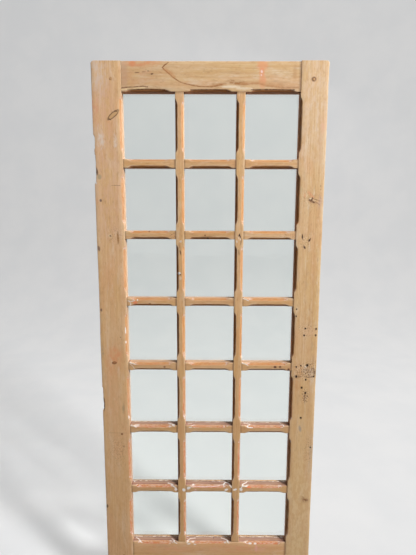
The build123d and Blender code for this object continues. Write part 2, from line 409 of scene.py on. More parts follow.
def finishSurface(tree, colour, roughness, height, bump, more):
    # bump is its strength and how high it stands
    uneven = put(tree, "ShaderNodeBump", {"Height": height, "Strength": bump[0], "Distance": bump[1]})
    sockets = {"Base Color": colour, "Roughness": roughness, "Normal": uneven.outputs[0], **more}
    shader = put(tree, "ShaderNodeBsdfPrincipled", sockets)
    put(tree, "ShaderNodeOutputMaterial", {"Surface": shader.outputs[0]})


def addSockets(group, way, kind, names):
    for name in names:
        group.interface.new_socket(name, in_out=way, socket_type="NodeSocket" + kind)


def rgb(red, green, blue):
    # from the 0 to 255 of a colour picker to scene colour
    def linear(value):
        value /= 255
        return value / 12.92 if value <= 0.04045 else ((value + 0.055) / 1.055) ** 2.4
    return linear(red), linear(green), linear(blue), 1.0


pine = {
    "early": rgb(226, 192, 150),     # the pale wood between the grain lines
    "late": rgb(200, 150, 100),      # the grain lines
    "pink": rgb(226, 172, 132),
    "yellow": rgb(222, 186, 132),
    "bleached": rgb(232, 212, 184),
    "grey": rgb(182, 154, 124),
    "deep": rgb(150, 102, 62),
    "foot": rgb(190, 148, 104),      # painted shade: the darker, browner colour low down
    "chamfer": rgb(202, 140, 66),
    "wall": rgb(206, 172, 138),      # the sides that face a pane
    "arris": rgb(240, 212, 174),     # rubbed edges, partly a painted highlight
    "litSide": rgb(186, 126, 64),      # painted light: chamfers that face up or to the right, towards the lamp
    "paintedShade": rgb(180, 112, 58),    # painted shade on what faces down or to the left, away from the lamp
    "salmon": rgb(196, 112, 72),     # paint in the chamfers
    "film": rgb(184, 142, 126),      # thin paint on the walls
    "seam": rgb(132, 72, 54),        # the line where chamfer and wall meet
    "upWallShade": (0.5, 0.47, 0.48, 1),  # painted shade: multiplies the painted walls that face up
    "flake": rgb(230, 218, 208),     # white flakes
    "jointDirtAndShade": rgb(88, 56, 38),        # dirt in the joints, and painted shade at the ends in shadow
    "pit": rgb(92, 60, 42),
    "footBand": (1.75, 0.35),        # heights between which the painted shade low down comes in
    "fadedBand": (1.5, 1.7),         # heights between which the chamfers grow paler
    "paintBand": (1.05, 0.68),       # heights between which the paint gets thicker
    "ringGap": 0.0042,
    "bump": (0.35, 0.0004),          # strength, height
    "gloss": 0.3,
}


def makePineGroup():
    # solid pine: growth rings round a pith beside the board, fibres, and slow changes of tone
    group = bpy.data.node_groups.new("solidPine", "ShaderNodeTree")
    for name, kind in (("Grain", "Vector"), ("Tone", "Float"), ("Pith", "Vector"), ("Swell", "Float")):
        addSockets(group, "INPUT", kind, [name])
    for name, kind in (("Colour", "Color"), ("Roughness", "Float"), ("Height", "Float")):
        addSockets(group, "OUTPUT", kind, [name])
    begin = put(group, "NodeGroupInput").outputs
    grain = begin["Grain"]

    slow = put(group, "ShaderNodeTexNoise", {"Vector": scaled(group, grain, 9, 9, 0.9), "Scale": 1.0,
                                             "Detail": 2.0}).outputs["Color"]
    bend = vectorCalc(group, "SUBTRACT", slow, (0.5, 0.5, 0.5))
    bent = put(group, "ShaderNodeVectorMath", {0: bend, 1: (0.05, 0.05, 0.0), 2: grain},
               operation="MULTIPLY_ADD").outputs[0]
    fromPith = vectorCalc(group, "SUBTRACT", bent, begin["Pith"])
    radius = lengthOf(group, scaled(group, fromPith, 1, 1, 0))
    radius = calc(group, "ADD", radius, begin["Swell"])
    ring = calc(group, "DIVIDE", radius, pine["ringGap"])
    uneven = grainNoise(group, grain, 60, 5, 2.0)
    ring = calc(group, "MULTIPLY_ADD", uneven, 1.1, ring)
    phase = calc(group, "FRACT", ring)
    lateRise = ramp(group, phase, 0.35, 0.86)
    lateFall = ramp(group, phase, 0.9, 1.0, 1.0, 0.0)
    late = times(group, lateRise, lateFall)
    year = put(group, "ShaderNodeCombineXYZ", {"X": calc(group, "FLOOR", ring)}).outputs[0]
    late = times(group, late, ramp(group, noiseAt(group, year, 3.7, 0.0), 0.3, 0.7, 0.25, 1.0))

    fibre = grainNoise(group, grain, 1500, 26, 3.0, 0.6)
    streak = grainNoise(group, grain, 260, 4, 3.0, 0.55)
    broad = grainNoise(group, grain, 26, 3.2, 3.0, 0.55, 0.4)
    warm = noiseAt(group, scaled(group, grain, 19, 19, 5.5), 1.3, 2.0)
    grime = grainNoise(group, grain, 40, 12, 5.0, 0.65)
    bleach = grainNoise(group, grain, 52, 9, 4.0, 0.62, 0.3)
    bands = grainNoise(group, grain, 150, 7, 3.0, 0.6, 0.2)
    flecks = grainNoise(group, grain, 210, 62, 3.0, 0.6)
    blotch = grainNoise(group, grain, 70, 34, 4.0, 0.6)
    colour = blendColour(group, ramp(group, broad, 0.3, 0.7), pine["early"], pine["yellow"])
    colour = overlaid(group, colour, [
        (warm, 0.48, 0.7, 0.0, 0.4, pine["pink"]),
        (bands, 0.35, 0.62, 0.4, 0.0, pine["late"]),
        (bleach, 0.5, 0.72, 0.0, 0.6, pine["bleached"]),
    ])
    colour = blendColour(group, times(group, late, 0.42), colour, pine["late"])
    colour = overlaid(group, colour, [
        (streak, 0.5, 0.8, 0.0, 0.35, pine["late"]),
        (fibre, 0.55, 0.85, 0.0, 0.28, pine["deep"]),
        (grime, 0.54, 0.76, 0.0, 0.5, pine["grey"]),
        (flecks, 0.28, 0.46, 0.3, 0.0, pine["deep"]),
        (flecks, 0.56, 0.72, 0.0, 0.3, pine["bleached"]),
        (blotch, 0.3, 0.46, 0.28, 0.0, pine["late"]),
    ])
    shade = ramp(group, begin["Tone"], 0.0, 1.0, 0.86, 1.1)
    shades = put(group, "ShaderNodeCombineColor", {0: shade, 1: shade, 2: shade}).outputs[0]
    colour = blendColour(group, 1.0, colour, shades, "MULTIPLY")

    rough = calc(group, "MULTIPLY_ADD", fibre, 0.18, 0.52)
    height = calc(group, "MULTIPLY_ADD", late, 0.5, times(group, fibre, 0.5))
    put(group, "NodeGroupOutput", {"Colour": colour, "Roughness": rough, "Height": height})
    return group


def makeSpotGroup(stroke):
    # a patch seen from the front with a ragged soft edge, 1 inside: an oval, or a stroke from place to place
    group = bpy.data.node_groups.new("placedStroke" if stroke else "placedSpot", "ShaderNodeTree")
    vectors = ["Place", "Start", "Run", "Along"] if stroke else ["Place", "Centre", "Size"]
    addSockets(group, "INPUT", "Vector", vectors)
    addSockets(group, "INPUT", "Float", ["Edge", "Wide", "Turn", "Soft", "Ragged"])
    addSockets(group, "OUTPUT", "Float", ["Inside"])
    begin = put(group, "NodeGroupInput").outputs
    if stroke:
        moved = vectorCalc(group, "SUBTRACT", begin["Place"], begin["Start"])
        share = vectorCalc(group, "DOT_PRODUCT", moved, begin["Along"], "Value")
        share = calc(group, "MAXIMUM", calc(group, "MINIMUM", share, 1.0), 0.0)
        reached = put(group, "ShaderNodeVectorMath", {0: begin["Run"], 3: share},
                      operation="SCALE").outputs[0]
        shaped = vectorCalc(group, "SUBTRACT", moved, reached)
    else:
        moved = vectorCalc(group, "SUBTRACT", begin["Place"], begin["Centre"])
        turned = put(group, "ShaderNodeVectorRotate", {"Vector": moved, "Angle": begin["Turn"]},
                     rotation_type="Y_AXIS").outputs[0]
        shaped = vectorCalc(group, "DIVIDE", turned, begin["Size"])
    away = lengthOf(group, scaled(group, shaped, 1, 0, 1))
    if stroke:
        away = calc(group, "DIVIDE", away, begin["Wide"])
    away = calc(group, "MULTIPLY_ADD", calc(group, "SUBTRACT", begin["Edge"], 0.5), begin["Ragged"], away)
    inner = calc(group, "SUBTRACT", 1.0, begin["Soft"])
    outer = calc(group, "ADD", 1.0, begin["Soft"])
    put(group, "NodeGroupOutput", {"Inside": ramp(group, away, inner, outer, 1.0, 0.0)})
    return group


pineGroup = makePineGroup()
spotGroup = makeSpotGroup(False)
strokeGroup = makeSpotGroup(True)


def insideSpot(tree, place, edge, x, z, wide, high, turn, soft, ragged):
    sockets = {"Place": place, "Edge": edge, "Centre": (x, 0, z), "Size": (wide, 1, high), "Turn": turn,
               "Soft": soft, "Ragged": ragged}
    return put(tree, "ShaderNodeGroup", sockets, node_tree=spotGroup).outputs["Inside"]


def insideStroke(tree, place, edge, start, end, wide, soft, ragged):
    run = Vector((end[0] - start[0], 0, end[1] - start[1]))
    sockets = {"Place": place, "Edge": edge, "Start": (start[0], 0, start[1]), "Run": run,
               "Along": run / run.length_squared, "Wide": wide, "Soft": soft, "Ragged": ragged}
    return put(tree, "ShaderNodeGroup", sockets, node_tree=strokeGroup).outputs["Inside"]


def addPaint(tree, colour, height, grain, on, paint):
    # what the stripping left beside the glass and in the chamfers, most of it in the lower rows, and painted
    # shade on the walls that face up
    tongue = pointValue(tree, "tongue")
    amount = ramp(tree, on["height"], *pine["paintBand"], paint * 0.3, paint)
    strands = grainNoise(tree, grain, 260, 20, 4.0, 0.6)
    flakes = grainNoise(tree, grain, 340, 80, 4.0, 0.65, 0.5)
    amount = calc(tree, "MULTIPLY_ADD", tongue, 0.35, amount, clamp=True)
    # less paint on the faces turned away from the lamp, the side that is given painted shade
    amount = times(tree, amount, calc(tree, "SUBTRACT", 1.0, times(tree, on["shadedSide"], 0.7)))
    salmon = times(tree, on["chamfer"], ramp(tree, on["deep"], 0.25, 0.95, 1.0, 0.45))
    salmon = times(tree, salmon, ramp(tree, strands, 0.44, 0.58, 0.3, 0.95))
    colour = blendColour(tree, times(tree, salmon, amount), colour, pine["salmon"])
    film = calc(tree, "MAXIMUM", on["wall"], times(tree, on["chamfer"], on["deep"], 0.4))
    film = times(tree, film, ramp(tree, strands, 0.36, 0.6, 0.9, 0.4))
    colour = blendColour(tree, times(tree, film, amount), colour, pine["film"])
    seam = times(tree, ramp(tree, on["depth"], chamferEnd, front + 0.01),
                 ramp(tree, on["depth"], front + 0.0115, front + 0.0135, 1.0, 0.0), on["wall"], 0.8)
    colour = blendColour(tree, times(tree, seam, calc(tree, "MAXIMUM", amount, 0.7)), colour, pine["seam"])
    # painted shade: walls that face up are darkened, more towards the glass
    upWallShade = times(tree, on["wall"], on["upward"], amount)
    upWallShade = times(tree, upWallShade, ramp(tree, on["depth"], front + 0.009, glassLine - 0.002, 0.4, 1.0))
    colour = blendColour(tree, upWallShade, colour, pine["upWallShade"], "MULTIPLY")
    byGlass = times(tree, on["wall"], ramp(tree, on["depth"], glassLine - 0.006, glassLine - 0.0025))
    white = calc(tree, "MULTIPLY_ADD", on["chamfer"], 0.3, tongue, clamp=True)
    white = times(tree, white, ramp(tree, flakes, 0.48, 0.55))
    rim = times(tree, times(tree, tongue, on["arris"]), ramp(tree, on["deep"], 0.3, 0.8))
    rim = calc(tree, "MAXIMUM", times(tree, rim, ramp(tree, flakes, 0.4, 0.48)),
               times(tree, byGlass, ramp(tree, flakes, 0.48, 0.56)))
    white = times(tree, calc(tree, "MAXIMUM", white, rim), amount)
    return blendColour(tree, white, colour, pine["flake"]), calc(tree, "MULTIPLY_ADD", white, 1.6, height)


def addMarks(tree, colour, place, edge, facing, grain, settings):
    # the board's own spots and holes, then its strokes, then the places where it is full of small pits
    pits = grainNoise(tree, grain, 330, 210, 3.0, 0.6)
    mottled = ramp(tree, grainNoise(tree, grain, 110, 45, 3.0, 0.6), 0.4, 0.62, 0.25, 1.0)
    holes = [(leafRight - fromEdge, below(down), wide * 0.72, wide * 0.85, 0.0, 0.45, 0.9, nearBlack, 0.8)
             for fromEdge, down, wide in settings.get("holes", [])]
    for x, z, wide, high, turn, soft, ragged, tint, share in settings.get("marks", []) + holes:
        inside = insideSpot(tree, place, edge, x, z, wide, high, turn, soft, ragged)
        inside = times(tree, inside, times(tree, facing, share))
        if soft > 0.55:
            inside = times(tree, inside, mottled)
        colour = blendColour(tree, inside, colour, rgb(*tint))
    broken = ramp(tree, noiseAt(tree, place, 130.0, 2.0), 0.36, 0.58, 0.6, 1.0)
    for route, wide, soft, ragged, tint, share in settings.get("strokes", []):
        whole = None
        for start, end in zip(route, route[1:]):
            inside = insideStroke(tree, place, edge, start, end, wide, soft, ragged)
            whole = calc(tree, "MAXIMUM", whole, inside) if whole else inside
        whole = times(tree, times(tree, whole, broken), times(tree, facing, share))
        colour = blendColour(tree, whole, colour, rgb(*tint))
    for x, z, wide, high, share in settings.get("pitted", []):
        inside = insideSpot(tree, place, edge, x, z, wide, high, 0.0, 0.6, 0.5)
        inside = times(tree, inside, times(tree, facing, share))
        dark = times(tree, inside, ramp(tree, pits, 0.55, 0.61))
        colour = blendColour(tree, dark, colour, pine["pit"])
        pale = times(tree, inside, ramp(tree, pits, 0.36, 0.44, 0.7, 0.0))
        colour = blendColour(tree, pale, colour, rgb(*paleWood))
    return colour


def makePine(name, upright, settings):
    # one board's finish: pine along its length, fresher chamfers with paint in them, painted light and shade
    # by the way each face turns, then its own marks
    material, tree = newMaterial(name)
    place = put(tree, "ShaderNodeTexCoord").outputs["Object"]
    parts = put(tree, "ShaderNodeSeparateXYZ", {0: place}).outputs
    grain = place
    if not upright:
        grain = put(tree, "ShaderNodeCombineXYZ", {0: parts["Z"], 1: parts["Y"], 2: parts["X"]}).outputs[0]
    tone = pointValue(tree, "tone")
    chamfer = pointValue(tree, "chamfer")
    grain = vectorCalc(tree, "ADD", grain, settings["offset"])
    shift = put(tree, "ShaderNodeCombineXYZ", {2: times(tree, tone, 7.0)}).outputs[0]
    grain = vectorCalc(tree, "ADD", grain, shift)
    edge = grainNoise(tree, grain, 300, 110, 3.0, 0.6)
    sockets = {"Grain": grain, "Tone": tone, "Pith": settings["pith"]}
    for x, z, wide, high, much in settings.get("knots", []):
        here = times(tree, insideSpot(tree, place, edge, x, z, wide, high, 0.0, 0.95, 0.1), much)
        sockets["Swell"] = calc(tree, "ADD", sockets["Swell"], here) if "Swell" in sockets else here
    wood = put(tree, "ShaderNodeGroup", sockets, node_tree=pineGroup).outputs
    colour = wood["Colour"]

    # painted shade: darker and browner towards the bottom
    low = ramp(tree, parts["Z"], *pine["footBand"])
    colour = blendColour(tree, times(tree, low, 0.38), colour, pine["foot"])
    if "tint" in settings:
        colour = blendColour(tree, 1.0, colour, (*settings["tint"], 1), "MULTIPLY")
    fresh = grainNoise(tree, grain, 60, 14)
    deep = ramp(tree, parts["Y"], front + 0.0015, chamferEnd)     # 0 at the face, 1 where a chamfer ends
    wall = pointValue(tree, "wall")
    orange = times(tree, chamfer, ramp(tree, fresh, 0.35, 0.65, 0.3, 0.85))
    orange = times(tree, orange, ramp(tree, deep, 0.4, 1.0, 1.0, 0.45))
    faded = times(tree, ramp(tree, parts["Z"], *pine["fadedBand"]), ramp(tree, deep, 0.4, 0.8))
    kept = ramp(tree, faded, 0.0, 1.0, 1.0, 0.25)
    colour = blendColour(tree, times(tree, orange, kept), colour, pine["chamfer"])
    colour = blendColour(tree, times(tree, wall, 0.7), colour, pine["wall"])
    arris = pointValue(tree, "arris")
    # paler arrises: rubbed wear, and a painted highlight where the edges catch the light
    rubbedAndHighlight = ramp(tree, grainNoise(tree, grain, 90, 30), 0.35, 0.65, 0.15, 0.75)
    colour = blendColour(tree, times(tree, arris, rubbedAndHighlight), colour, pine["arris"])
    normal = put(tree, "ShaderNodeNewGeometry").outputs["Normal"]
    normal = put(tree, "ShaderNodeSeparateXYZ", {0: normal}).outputs
    right, up = normal["X"], normal["Z"]
    # faces turned down or to the left, away from the lamp, are the shaded side
    shadedSide = calc(tree, "MAXIMUM", ramp(tree, right, -0.45, -0.75), ramp(tree, up, -0.45, -0.75))
    # painted light: chamfers that face the lamp, up or to the right, turn a deeper orange
    litSide = calc(tree, "MAXIMUM", ramp(tree, up, 0.4, 0.7), ramp(tree, right, 0.4, 0.7, 0.0, 0.8))
    litSideShare = times(tree, times(tree, litSide, chamfer), times(tree, kept, 0.6))
    colour = blendColour(tree, litSideShare, colour, pine["litSide"])
    # painted shade: walls and chamfers on the shaded side turn a darker brown
    paintedShade = times(tree, shadedSide, calc(tree, "MAXIMUM", wall, chamfer))
    colour = blendColour(tree, times(tree, paintedShade, 0.85), colour, pine["paintedShade"])
    upward = ramp(tree, up, 0.5, 0.8)
    height = wood["Height"]
    if settings.get("paint"):
        on = {"chamfer": chamfer, "wall": wall, "arris": arris, "deep": deep, "shadedSide": shadedSide,
              "upward": upward, "depth": parts["Y"], "height": parts["Z"]}
        colour, height = addPaint(tree, colour, height, grain, on, settings["paint"])
    # the joints' dirt, and painted shade at the ends in shadow
    colour = blendColour(tree, pointValue(tree, "jointDirtAndShade"), colour, pine["jointDirtAndShade"])
    facing = ramp(tree, parts["Y"], front + 0.012, front + 0.018, 1.0, 0.0)
    if not upright:
        # on a wall that faces up, the marks' height runs on into its depth
        deeper = calc(tree, "MAXIMUM", calc(tree, "SUBTRACT", parts["Y"], chamferEnd), 0.0)
        place = put(tree, "ShaderNodeCombineXYZ", {0: parts["X"], 1: parts["Y"], 2: calc(
            tree, "MULTIPLY_ADD", upward, deeper, parts["Z"])}).outputs[0]
        reached = ramp(tree, parts["Y"], glassLine - 0.001, glassLine + 0.001, 1.0, 0.0)
        facing = calc(tree, "MAXIMUM", facing, times(tree, upward, reached))
    colour = addMarks(tree, colour, place, edge, facing, grain, settings)
    if "iron" in settings:
        colour = blendColour(tree, pointValue(tree, "iron"), colour, settings["iron"])
    gloss = {"Specular IOR Level": pine["gloss"]}
    finishSurface(tree, colour, wood["Roughness"], height, pine["bump"], gloss)
    return material


def below(distance):
    return leafTop - distance


# colours of the marks, as a colour picker gives them
brown = (128, 84, 52)
nearBlack = (46, 32, 26)
paleWood = (226, 206, 182)
whitePaint = (240, 234, 228)


# The camera stands where the photographer stood

view = {"place": (0.0011, -1.4336, 1.4919), "turn": -0.2, "down": 8.43, "roll": 0.19,
        "focus": 417, "height": 555, "film": 36}      # focus and height in pixels of the photograph
eye = bpy.data.objects.new("eye", bpy.data.cameras.new("eye"))
eye.data.sensor_fit = "VERTICAL"
eye.data.sensor_height = view["film"]
eye.data.lens = view["film"] * view["focus"] / view["height"]
eye.matrix_world = (Matrix.Translation(view["place"])
                    @ Matrix.Rotation(math.radians(-view["turn"]), 4, "Z")
                    @ Matrix.Rotation(math.radians(90 - view["down"]), 4, "X")
                    @ Matrix.Rotation(math.radians(view["roll"]), 4, "Z"))
bpy.context.scene.collection.objects.link(eye)
bpy.context.scene.camera = eye


# Shared sizes of the joints

tenonHeights = [(0.036, 0.116), (gridLow - 0.102, gridLow - 0.014), (gridTop, gridTop + 0.062)]
joints = {"haunch": 0.012, "socket": 0.021, "socketInBar": 0.01, "tenonInFrame": 0.02, "tenonInBar": 0.009,
          "wedge": 0.06, "wedgeEnd": 0.006, "pegRadius": 0.005, "pegHole": 0.0051}
pegX = {"left": -0.3175, "right": 0.3326}
pegZ = [sum(tenonHeights[0]) / 2, sum(tenonHeights[1]) / 2, gridTop + 0.039]
half = leaf["tenonHalf"]
barHalf = leaf["barTenonHalf"]
overrun = leaf["overrun"]


def constant(along, value):
    return np.full_like(along, value)


def at(along, u, v):
    u = u if isinstance(u, np.ndarray) else constant(along, u)
    v = v if isinstance(v, np.ndarray) else constant(along, v)
    return np.stack([u, v], -1)


def softArris(along, seed, size=0.0009, chips=0.0012):
    # a worn arris: thin for most of its length, with rounder rubbed places
    rub = np.clip(waver(along, seed, 0.31, 1.0), 0, 1) ** 2
    return np.maximum(size + chips * rub + waver(along, seed + 5, 0.04, size * 0.5), 0.0003)


def uprightSpans(topBlock):
    spans = []
    for row in rows:
        low, high = openings[row, "left"][2:]
        lowBlock = leaf["blockAtRail"] if row == 7 else leaf["blockAtBar"]
        highBlock = topBlock if row == 1 else leaf["blockAtBar"]
        spans.append((low, high, lowBlock, highBlock))
    return spans


def barMiddle(row):
    # the height of the cross bars below a row of panes
    return (openings[row, "left"][2] + openings[row + 1, "left"][3]) / 2


def crossSpans(*sides):
    return [(*openings[1, side][:2], leaf["blockOnCross"], leaf["blockOnCross"]) for side in sides]


def pegHoles(side, mouth=0.0):
    return [roundHole(pegX[side], z, joints["pegHole"], front, back + overrun, mouth=mouth) for z in pegZ]


# The stiles

def stileCutters(outer, inner, top, side, mouth):
    # the slots that the tenons and wedges fill, the bars' sockets and the peg holes
    inward = 1 if inner > outer else -1
    wedgeEnd = outer + inward * joints["wedge"]
    past = inner + inward * overrun
    beyond = outer - inward * overrun
    spread = joints["wedgeEnd"] * (1 + overrun / joints["wedge"])
    shapes = [prism([(past, low), (past, high), (wedgeEnd, high), (beyond, high + spread),
                     (beyond, low - spread), (wedgeEnd, low)], -half, half) for low, high in tenonHeights]
    near, far = sorted((past, inner - inward * joints["haunch"]))
    shapes.append(block(near, far, -half, half, -overrun, gridLow))
    shapes.append(block(near, far, -half, half, gridTop, top + overrun))
    near, far = sorted((past, inner - inward * joints["socket"]))
    for row in rows[:-1]:
        z = barMiddle(row)
        shapes.append(block(near, far, -half, half, z - barHalf, z + barHalf))
    return shapes + pegHoles(side, mouth)


def makeStile(name, side, outer, inner, top, settings):
    # outer is the leaf's edge, inner the side beside the glass
    seed = settings["seed"]
    inward = 1 if inner > outer else -1
    spans = uprightSpans(settings["topBlock"])
    edgePlaces = [below(distance) for distance, depth in settings["edge"]]
    extra = [z + shift for z in edgePlaces for shift in (-0.001, 0.001)]
    extra += list(np.linspace(top - 0.01, top, 9))
    along = placeStations(0.0, top, leaf["spacing"], spans, extra)
    depth = np.interp(leafTop - along, [d for d, w in settings["edge"]], [w for d, w in settings["edge"]])
    ragged = np.clip(depth / 0.004, 0, 1) * waver(along, seed, 0.021, 0.0008)
    wornFront = outer + inward * (depth + ragged + 0.0003)
    radius = settings["cornerRadius"]
    rise = np.clip(along - (top - radius), 0, radius)
    rounding = radius - np.sqrt(radius ** 2 - rise ** 2)
    wornFront = wornFront + inward * rounding
    outerBack = outer + inward * (0.0004 + rounding)
    step = front + settings["recessReach"]
    rebateWall = inner - inward * leaf["rebate"]
    cuts, tongue = chamferCuts(along, spans, seed + 20)
    cuts = np.maximum(cuts, softArris(along, seed + 1))
    corners = [
        (at(along, wornFront, front), softArris(along, seed + 2, 0.001, 0.002), 0.0006),
        (at(along, inner, front), cuts, 0.0006),
        (at(along, inner, glassLine), softArris(along, seed + 3, 0.0005, 0.0004), 0.0003),
        (at(along, rebateWall, glassLine), None, 0),
        (at(along, rebateWall, back), softArris(along, seed + 4), 0.0004),
        (at(along, outerBack, back), softArris(along, seed + 6, 0.001, 0.0018), 0.0005),
        (at(along, outerBack, step + 0.0001), None, 0),
        (at(along, wornFront, step - 0.0001), None, 0),
    ]
    rings, masks = sectionRings(corners, [7, 3, 1, 1, 6, 1, 0, 3], [1])
    masks["tongue"] = tongue
    rings = roughen(rings, along, leaf["wear"], seed)
    piece = meshFromRings(name, rings, along, masks, True, settings["tone"], (-1, 3), (0, 0))
    holes = [roundHole(leafRight - fromEdge, below(down), wide / 2, front, front + settings["holeDepth"],
                       12, 0.0004, 0.8) for fromEdge, down, wide in settings.get("holes", [])]
    combine(piece, stileCutters(outer, inner, top, side, settings["pegCrush"]) + holes, "DIFFERENCE")
    return piece


leftStile = {
    "seed": 31,
    "pith": (-0.25, 0.05, 0.0),
    "offset": (0.0, 0.0, 0.0),
    "tint": (1.06, 1.02, 1.02),
    "tone": 0.5,
    "paint": 0.9,
    "recessReach": 0.036,
    "cornerRadius": 0.009,
    "topBlock": 0.006,
    "pegCrush": 0.0,
    # wear along the outer edge: below the top, depth
    "edge": [(0.0, 0.0), (0.228, 0.0002), (0.233, 0.0036), (0.24, 0.005), (0.262, 0.0046),
             (0.272, 0.0048), (0.275, 0.0028), (0.29, 0.0026), (0.294, 0.005), (0.33, 0.0056),
             (0.372, 0.0056), (0.381, 0.0042), (0.386, 0.0002), (0.6, 0.0006), (0.7, 0.0014),
             (0.86, 0.0012), (0.9, 0.0003), (1.094, 0.0005), (1.098, 0.003), (1.13, 0.0036),
             (1.17, 0.0052), (1.179, 0.0057), (1.181, 0.0003), (2.0, 0.0)],
    # where knots push the grain lines aside: x, z, half width, half height, how far
    "knots": [(-0.3125, 1.8143, 0.012, 0.022, 0.006), (-0.3334, 0.9767, 0.022, 0.04, 0.02),
              (-0.3141, 0.7072, 0.012, 0.024, 0.012), (-0.334, 1.4236, 0.008, 0.018, 0.008),
              (-0.31, 0.66, 0.012, 0.026, 0.006)],
    # x, z, half width, half height, turn, softness, raggedness, colour, share
    "marks": [
        (-0.335, 1.62, 0.05, 0.24, 0.0, 0.9, 0.8, (222, 180, 150), 0.6),
        (-0.333, 0.85, 0.05, 0.3, 0.0, 0.9, 0.8, (214, 176, 132), 0.4),
        (-0.358, 1.93, 0.024, 0.062, 0.0, 0.8, 1.4, (220, 204, 190), 0.75),
        (-0.37, 1.825, 0.012, 0.05, 0.0, 0.8, 1.0, (220, 156, 122), 0.9),
        (-0.34, 1.85, 0.03, 0.09, 0.0, 0.9, 0.8, (222, 172, 140), 0.45),
        (-0.36, 1.745, 0.012, 0.033, 0.1, 0.7, 1.8, (228, 216, 204), 0.7),
        (-0.348, 1.725, 0.007, 0.015, 0.1, 0.7, 1.8, (224, 208, 192), 0.6),
        (-0.309, 1.73, 0.007, 0.021, 0.1, 0.7, 1.8, (228, 212, 196), 0.7),
        (-0.3125, 1.8143, 0.008, 0.0238, -0.87, 0.14, 0.5, (106, 76, 52), 0.9),
        (-0.3118, 1.8147, 0.0052, 0.0198, -0.87, 0.2, 0.5, (208, 166, 118), 0.95),
        (-0.304, 1.8252, 0.0058, 0.0018, 0.0, 0.4, 0.8, (72, 54, 40), 0.85),
        (-0.3245, 1.8003, 0.0046, 0.0018, -0.5, 0.4, 0.8, (78, 58, 42), 0.8),
        (-0.329, 1.7925, 0.006, 0.004, 0.0, 0.6, 0.6, (214, 148, 100), 0.5),
        (-0.3334, 0.9767, 0.03, 0.06, 0.0, 0.6, 0.5, (216, 144, 96), 0.4),
        (-0.3185, 0.94, 0.0045, 0.02, 0.0, 0.6, 1.2, paleWood, 0.5),
        (-0.3334, 0.9767, 0.0085, 0.0055, 0.1, 0.22, 0.3, (118, 76, 46), 0.95),
        (-0.333, 0.9763, 0.0052, 0.003, 0.1, 0.4, 0.6, (158, 112, 74), 0.8),
        (-0.3141, 0.7072, 0.0042, 0.004, 0.0, 0.3, 0.6, (128, 84, 50), 0.85),
        (-0.306, 0.808, 0.0045, 0.019, 0.0, 0.6, 1.0, (142, 130, 100), 0.5),
        (-0.3097, 1.07, 0.0018, 0.0018, 0.0, 0.4, 0.5, brown, 0.8),
        (-0.2911, 1.095, 0.0016, 0.012, 0.0, 0.4, 1.4, whitePaint, 0.9),
        (-0.2912, 1.0522, 0.0018, 0.005, 0.0, 0.4, 1.2, whitePaint, 0.9),
        (-0.2826, 1.1757, 0.0016, 0.006, 0.2, 0.4, 1.2, whitePaint, 0.8),
        (-0.334, 1.4236, 0.0068, 0.0078, 0.0, 0.5, 0.6, (230, 200, 162), 0.55),
        (-0.334, 1.4236, 0.0026, 0.0026, 0.0, 0.3, 0.4, (104, 70, 46), 0.95),
        (-0.3082, 1.4163, 0.0035, 0.019, 0.05, 0.4, 0.6, (160, 114, 66), 0.8),
        (-0.374, 1.3803, 0.0038, 0.0085, 0.2, 0.4, 1.0, (118, 92, 84), 0.8),
        (-0.3735, 1.1673, 0.0035, 0.005, 0.0, 0.4, 0.9, (118, 90, 80), 0.8),
        (-0.3725, 1.023, 0.004, 0.018, 0.0, 0.6, 1.4, (146, 126, 112), 0.6),
        (-0.3624, 1.5408, 0.0038, 0.0045, 0.0, 0.4, 0.7, (104, 84, 78), 0.85),
        (-0.3735, 1.538, 0.003, 0.012, 0.0, 0.6, 0.8, (224, 150, 112), 0.5),
        (-0.372, 1.635, 0.0038, 0.012, 0.15, 0.4, 0.9, (104, 80, 62), 0.85),
        (-0.3637, 1.6173, 0.006, 0.0075, 0.0, 0.5, 0.8, (166, 154, 122), 0.7),
        (-0.376, 1.5985, 0.0032, 0.0045, 0.0, 0.4, 0.8, (226, 212, 206), 0.8),
        (-0.304, 1.618, 0.003, 0.014, 0.0, 0.6, 0.8, (184, 150, 96), 0.5),
        (-0.3759, 0.4199, 0.0035, 0.0065, 0.0, 0.4, 0.6, (92, 70, 52), 0.8),
        (-0.3742, 0.822, 0.0026, 0.024, 0.0, 0.4, 1.0, (88, 58, 38), 0.85),
        (-0.33, 1.005, 0.02, 0.024, 0.0, 0.6, 1.0, (220, 144, 98), 0.5),
        (-0.308, 0.66, 0.003, 0.004, 0.0, 0.5, 0.9, (150, 104, 70), 0.6),
    ],
    # route as x and z, half width, softness, raggedness, colour, share
    "strokes": [
        ([(-0.3245, 1.59), (-0.311, 1.5906), (-0.296, 1.5896)], 0.0009, 0.6, 0.9, (126, 88, 58), 0.7),
        ([(-0.36, 0.712), (-0.296, 0.7115)], 0.0008, 0.6, 0.9, (140, 104, 72), 0.45),
    ],
    # where the wood is full of small pits: x, z, half width, half height, share
    "pitted": [(-0.33, 0.645, 0.03, 0.05, 0.35), (-0.315, 1.425, 0.025, 0.03, 0.35)],
}
